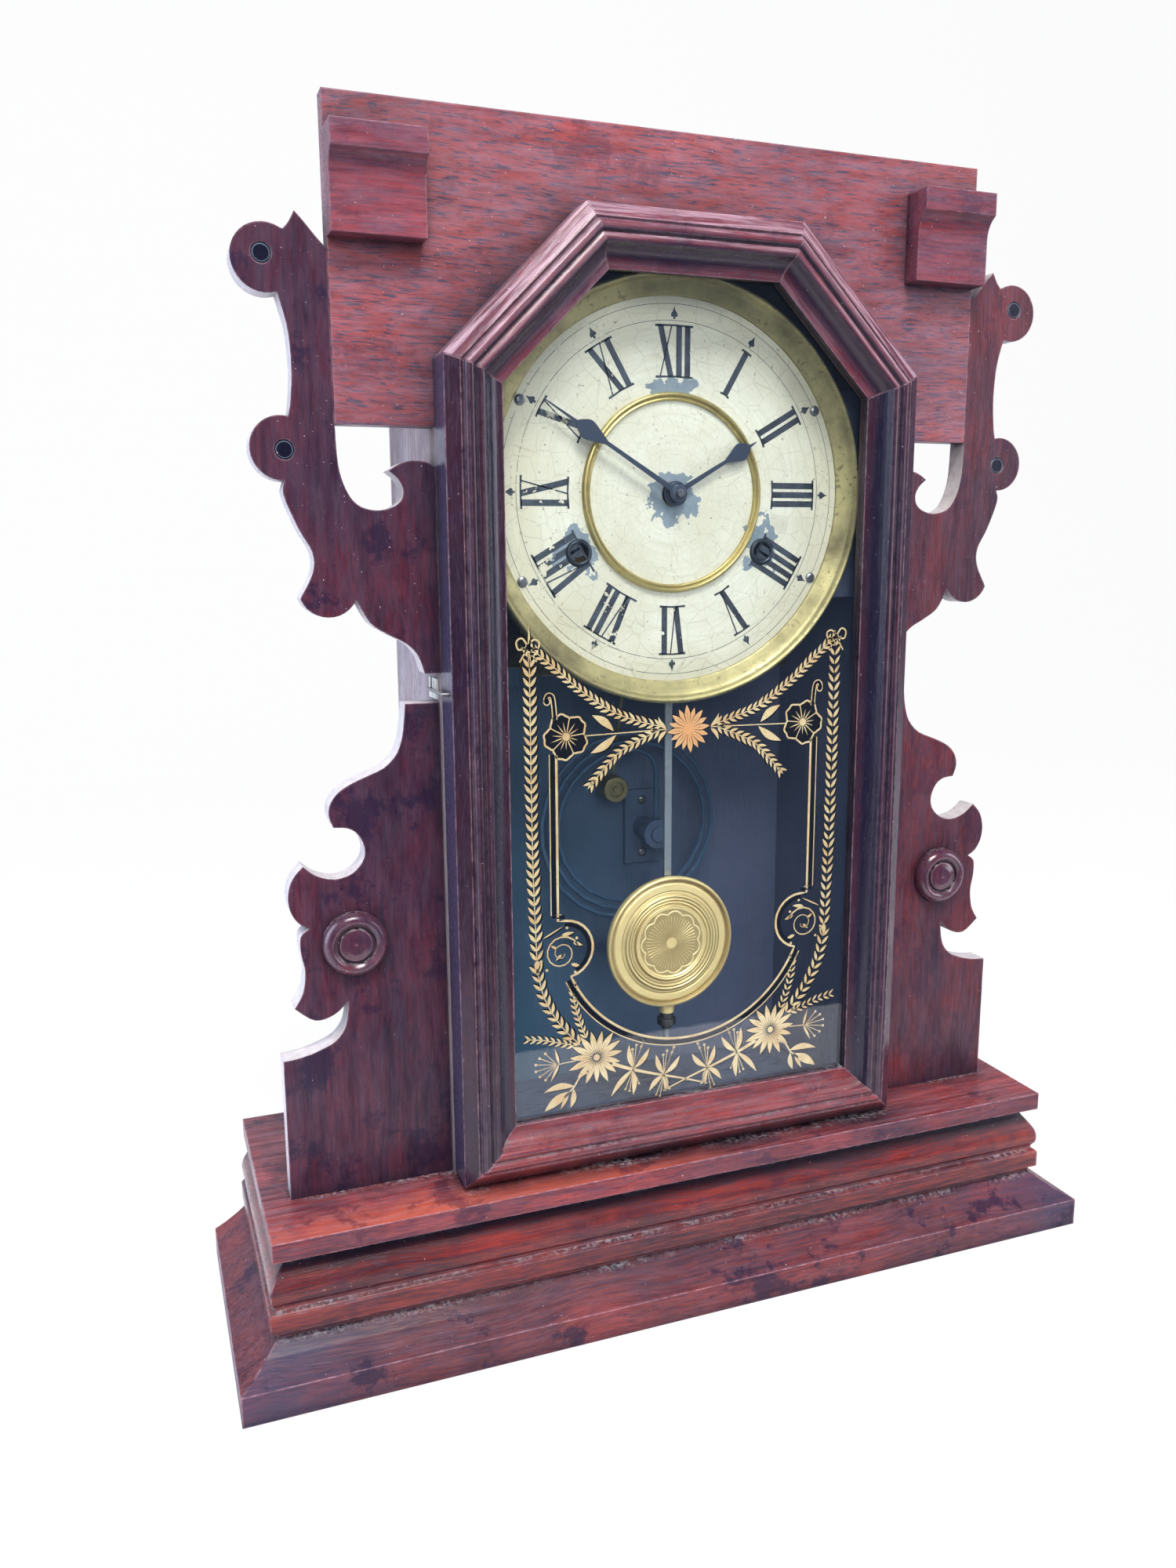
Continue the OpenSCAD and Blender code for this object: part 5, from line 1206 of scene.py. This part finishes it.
# Movement: an eight-day strike movement between two brass plates, with brass wheels, steel arbors
# and lantern pinions, and two coiled springs hooked to the lower pillars.
finish_with(brass("plate_brass", (86, 78, 58), (42, 40, 36), 0.8),
            "front_plate", "back_plate", "plate_pillars", "front_posts")
finish_with(brass("wheel_brass", (210, 178, 102), (120, 96, 58), 0.5),
            "time_great_wheel", "second_wheel", "centre_wheel", "third_wheel", "escape_wheel",
            "strike_great_wheel", "pin_wheel", "count_wheel", "fly", "hour_wheel", "minute_wheel")
finish_with(steel("arbor_steel", (132, 134, 138), (92, 74, 62), 0.5),
            "minute_arbor", "verge", "wood_screws")
finish_with(steel("winding_steel", (70, 84, 98), (40, 44, 50), 0.5, 0.8),
            "time_winding_arbor", "strike_winding_arbor")
finish_with(steel("spring_steel", (74, 84, 108), (60, 52, 50), 0.35, 0.9, 0.28), "mainsprings")

# Pendulum: a flat steel rod on a thin spring, a pressed brass bob with rings and an engraved
# sunburst on its face, and a dark rating nut on the thread below it.
finish_with(steel("rod_steel", (164, 172, 174), (116, 112, 104), 0.3, 0.75, 0.34), "pendulum_rod")
finish_with(steel("nut_steel", (84, 84, 84), (70, 60, 48), 0.5), "rating_nut")
bob_brass = brass("bob_brass", (252, 228, 162), (214, 184, 124), 0.4, dull=0.06, metal=0.6)
bob_shader = bob_brass.node_tree.nodes["Principled BSDF"]
bob_z = 151
bob_x, _, bob_height = axes_of(put(bob_brass.node_tree, "ShaderNodeTexCoord").outputs["Object"])
bob_far = from_middle(bob_x, less(bob_height, bob_z / 1000))
ring_mask = times(between(bob_far, 0.0158, 0.0162), between(bob_far, 0.0235, 0.023))
turned_rings = times(reckon("SINE", times(bob_far, 4300.0)), times(ring_mask, 0.5))
in_burst = times(between(bob_far, 0.0151, 0.0147, 0.0, 0.85), between(bob_far, 0.0022, 0.0026))
dark_cut = larger(between(turned_rings, 0.1, -0.5, 0.0, 0.6), times(in_burst, 0.7))
outer_rim = times(between(bob_far, 0.0262, 0.0266, 0.0, 0.55), between(bob_far, 0.029, 0.0284))
plain = {name: bob_shader.inputs[name].links[0].from_socket for name in ("Base Color", "Normal")}
feed(bob_shader, {
    "Base Color": mix(larger(dark_cut, outer_rim), plain["Base Color"], stain(112, 84, 40)),
    "Normal": bumped(turned_rings, 1.0, 0.0006, plain["Normal"]),
})
finish_with(bob_brass, "pendulum_bob")
bob_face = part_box("pendulum_bob")[0].y * 1000
bob_dish = 0.1


def bob_y(radius):
    """The y in millimetres of the bob's face at a radius within its outer rings."""
    return bob_face + bob_dish + max(0.0, radius - 5.9) * 0.0565 - 0.12


ray_mesh = bpy.data.meshes.new("bob_ray")
ray_points = []
for radius, half in ((2.6, 0.06), (5.9, 0.14), (11.7, 0.3)):
    for across, sunk in ((-half, 0.25), (0.0, 0.0), (half, 0.25)):
        ray_points.append(((radius - 2.6) / 1000, (bob_y(radius) + sunk) / 1000, across / 1000))
ray_faces = [(0, 3, 4, 1), (1, 4, 5, 2), (3, 6, 7, 4), (4, 7, 8, 5), (0, 1, 2), (6, 8, 7), (0, 2, 5, 3),
             (3, 5, 8, 6)]
ray_mesh.from_pydata(ray_points, [], ray_faces)
bright_brass = brass("bob_ridges", (255, 238, 184), (206, 172, 108), 0.3, dull=0.04, metal=0.6)
burst = grown(middles([(0, bob_z)], case_front * 1000), petal_tree, {
    "Petal": bpy.data.objects.new("bob_ray", ray_mesh), "Count": 48, "Inner": 0.0026, "Size": 1.0,
    "Uneven": 0.02, "Start": 0.0, "Finish": bright_brass,
})
scallops = bmesh.new()
loops = []
steps = 132
for offset, sunk in ((-0.5, 0.25), (-0.25, 0.0), (0.25, 0.0), (0.5, 0.25)):
    loop = []
    for k in range(steps):
        way = 2 * math.pi * k / steps
        radius = 12.6 + 1.5 * abs(math.sin(5.5 * way)) + offset
        loop.append(scallops.verts.new((radius * math.cos(way) / 1000, (bob_y(radius) + sunk) / 1000,
                                        (bob_z + radius * math.sin(way)) / 1000)))
    loops.append(loop)
for inner_loop, outer_loop in zip(loops, loops[1:] + loops[:1]):
    for k in range(steps):
        n = (k + 1) % steps
        scallops.faces.new((inner_loop[k], inner_loop[n], outer_loop[n], outer_loop[k]))
burst_mesh = joined("bob_sunburst", [burst, as_mesh("scallops", scallops)])
lay_on("bob_sunburst", burst_mesh, bright_brass, "bob")

# Strike: a long wire gong coiled behind the pendulum, blued nearly black, riveted in a hub on a block,
# with a brass-headed hammer on a thin wire.
finish_with(steel("gong_wire", (66, 96, 124), (60, 76, 96), 0.3, 0.3, 0.4), "gong_coil")
finish_with(brass("hammer_brass", (168, 158, 112), (96, 88, 60), 0.6), "hammer")

# Door furniture: two small pressed brass hinges let in at the right, a wire hook at the left that
# turns in the stile's edge and catches behind a small plate.
finish_with(brass("hinge_brass", (188, 156, 92), (104, 82, 52), 0.7),
            "hinge_door_leaves", "hinge_case_leaves")
finish_with(steel("hook_wire", (150, 150, 150), (100, 80, 66), 0.5), "door_hook")
finish_with(steel("latch_tin", (220, 222, 212), (150, 144, 132), 0.5, 0.3, 0.4), "latch_plate")

# Studio: a pale sweep, soft white light all round with a cooler side at the left, and the camera at
# the height and distance from which the clock is seen.
white = (1.0, 1.0, 1.0, 1.0)
sweep_start = 1.2
sweep_r = 1.2
half_wide = 4.0
under_feet = -0.0002
floor_shape = bmesh.new()
profile = [(-0.3, 0.0)]
for k in range(0, 19):
    way = math.radians(5 * k)
    profile.append((sweep_start + sweep_r * math.sin(way), sweep_r - sweep_r * math.cos(way)))
profile.append((sweep_start + sweep_r, 3 * sweep_r))
rows = [[floor_shape.verts.new((x, y, z + under_feet)) for x in (-half_wide, half_wide)] for y, z in profile]
for low_row, high_row in zip(rows, rows[1:]):
    floor_shape.faces.new((low_row[0], low_row[1], high_row[1], high_row[0]))
floor = bpy.data.objects.new("studio_floor", as_mesh("studio_floor", floor_shape, outward=False))
bpy.context.scene.collection.objects.link(floor)
pale, pale_shader, pale_place = material("studio_paper")
paper = mix(noise(pale_place, 3.0, 2.0), (0.84, 0.84, 0.85, 1.0), (0.87, 0.87, 0.88, 1.0))
feed(pale_shader, {"Base Color": paper, "Roughness": 0.8})
pale_glow = put(pale.node_tree, "ShaderNodeEmission", {"Color": white, "Strength": 1.0}).outputs[0]
pale_ray = put(pale.node_tree, "ShaderNodeLightPath").outputs["Is Camera Ray"]
glow_share = times(pale_ray, 0.94)
pale_mix = add("ShaderNodeMixShader", {0: glow_share, 1: pale_shader.outputs[0], 2: pale_glow}).outputs[0]
feed(pale.node_tree.nodes["Material Output"], {"Surface": pale_mix})
floor.data.materials.append(pale)

world = bpy.data.worlds.new("studio")
world.use_nodes = True
sky = world.node_tree
seen_sky = put(sky, "ShaderNodeBackground", {"Color": white, "Strength": 1.0}).outputs[0]
lit_sky = put(sky, "ShaderNodeBackground", {"Color": (0.5, 0.66, 1.0, 1.0), "Strength": 0.24}).outputs[0]
seen = put(sky, "ShaderNodeLightPath").outputs["Is Camera Ray"]
sky_mix = add("ShaderNodeMixShader", {0: seen, 1: lit_sky, 2: seen_sky}).outputs[0]
feed(sky.nodes["World Output"], {"Surface": sky_mix})
bpy.context.scene.world = world


def lamp(name, place, target, size, power, colour, mirrored_in=True):
    """A large soft lamp turned towards a point; mirrored_in lets it be seen in glass and polish."""
    data = bpy.data.lights.new(name, "AREA")
    data.shape = "RECTANGLE"
    data.size, data.size_y = size
    data.energy = power
    data.color = colour
    made = bpy.data.objects.new(name, data)
    made.location = place
    made.rotation_euler = (Vector(target) - Vector(place)).to_track_quat("-Z", "Y").to_euler()
    made.visible_camera = False
    made.visible_glossy = mirrored_in
    bpy.context.scene.collection.objects.link(made)


lamp("window_left", (-1.6, 0.0, 0.8), (0, 0, 0.25), (1.0, 1.6), 30, (0.7, 0.78, 1.0))
lamp("high_key", (-0.15, -1.1, 1.9), (0, 0, 0.2), (0.8, 0.6), 50, (1.0, 0.96, 0.94))
lamp("right_soft", (1.7, -1.0, 0.6), (0, 0, 0.25), (0.9, 1.4), 20, (0.92, 0.9, 1.0))
lamp("front_left", (-0.5, -1.9, 1.0), (0, 0, 0.25), (1.0, 0.8), 25, (1.0, 0.97, 0.95), mirrored_in=False)

camera_data = bpy.data.cameras.new("photo_camera")
camera_data.sensor_width = 36
camera_data.lens = 28.05
camera = bpy.data.objects.new("photo_camera", camera_data)
bpy.context.scene.collection.objects.link(camera)
camera.matrix_world = Matrix((
    (0.93469991, 0.07219984, -0.34802768, -0.2136088),
    (-0.35538511, 0.17296668, -0.91857713, -0.4813489),
    (-0.00612393, 0.98227782, 0.18733069, 0.3183747),
    (0, 0, 0, 1),
))
bpy.context.scene.camera = camera
bpy.context.scene.view_settings.view_transform = "Standard"
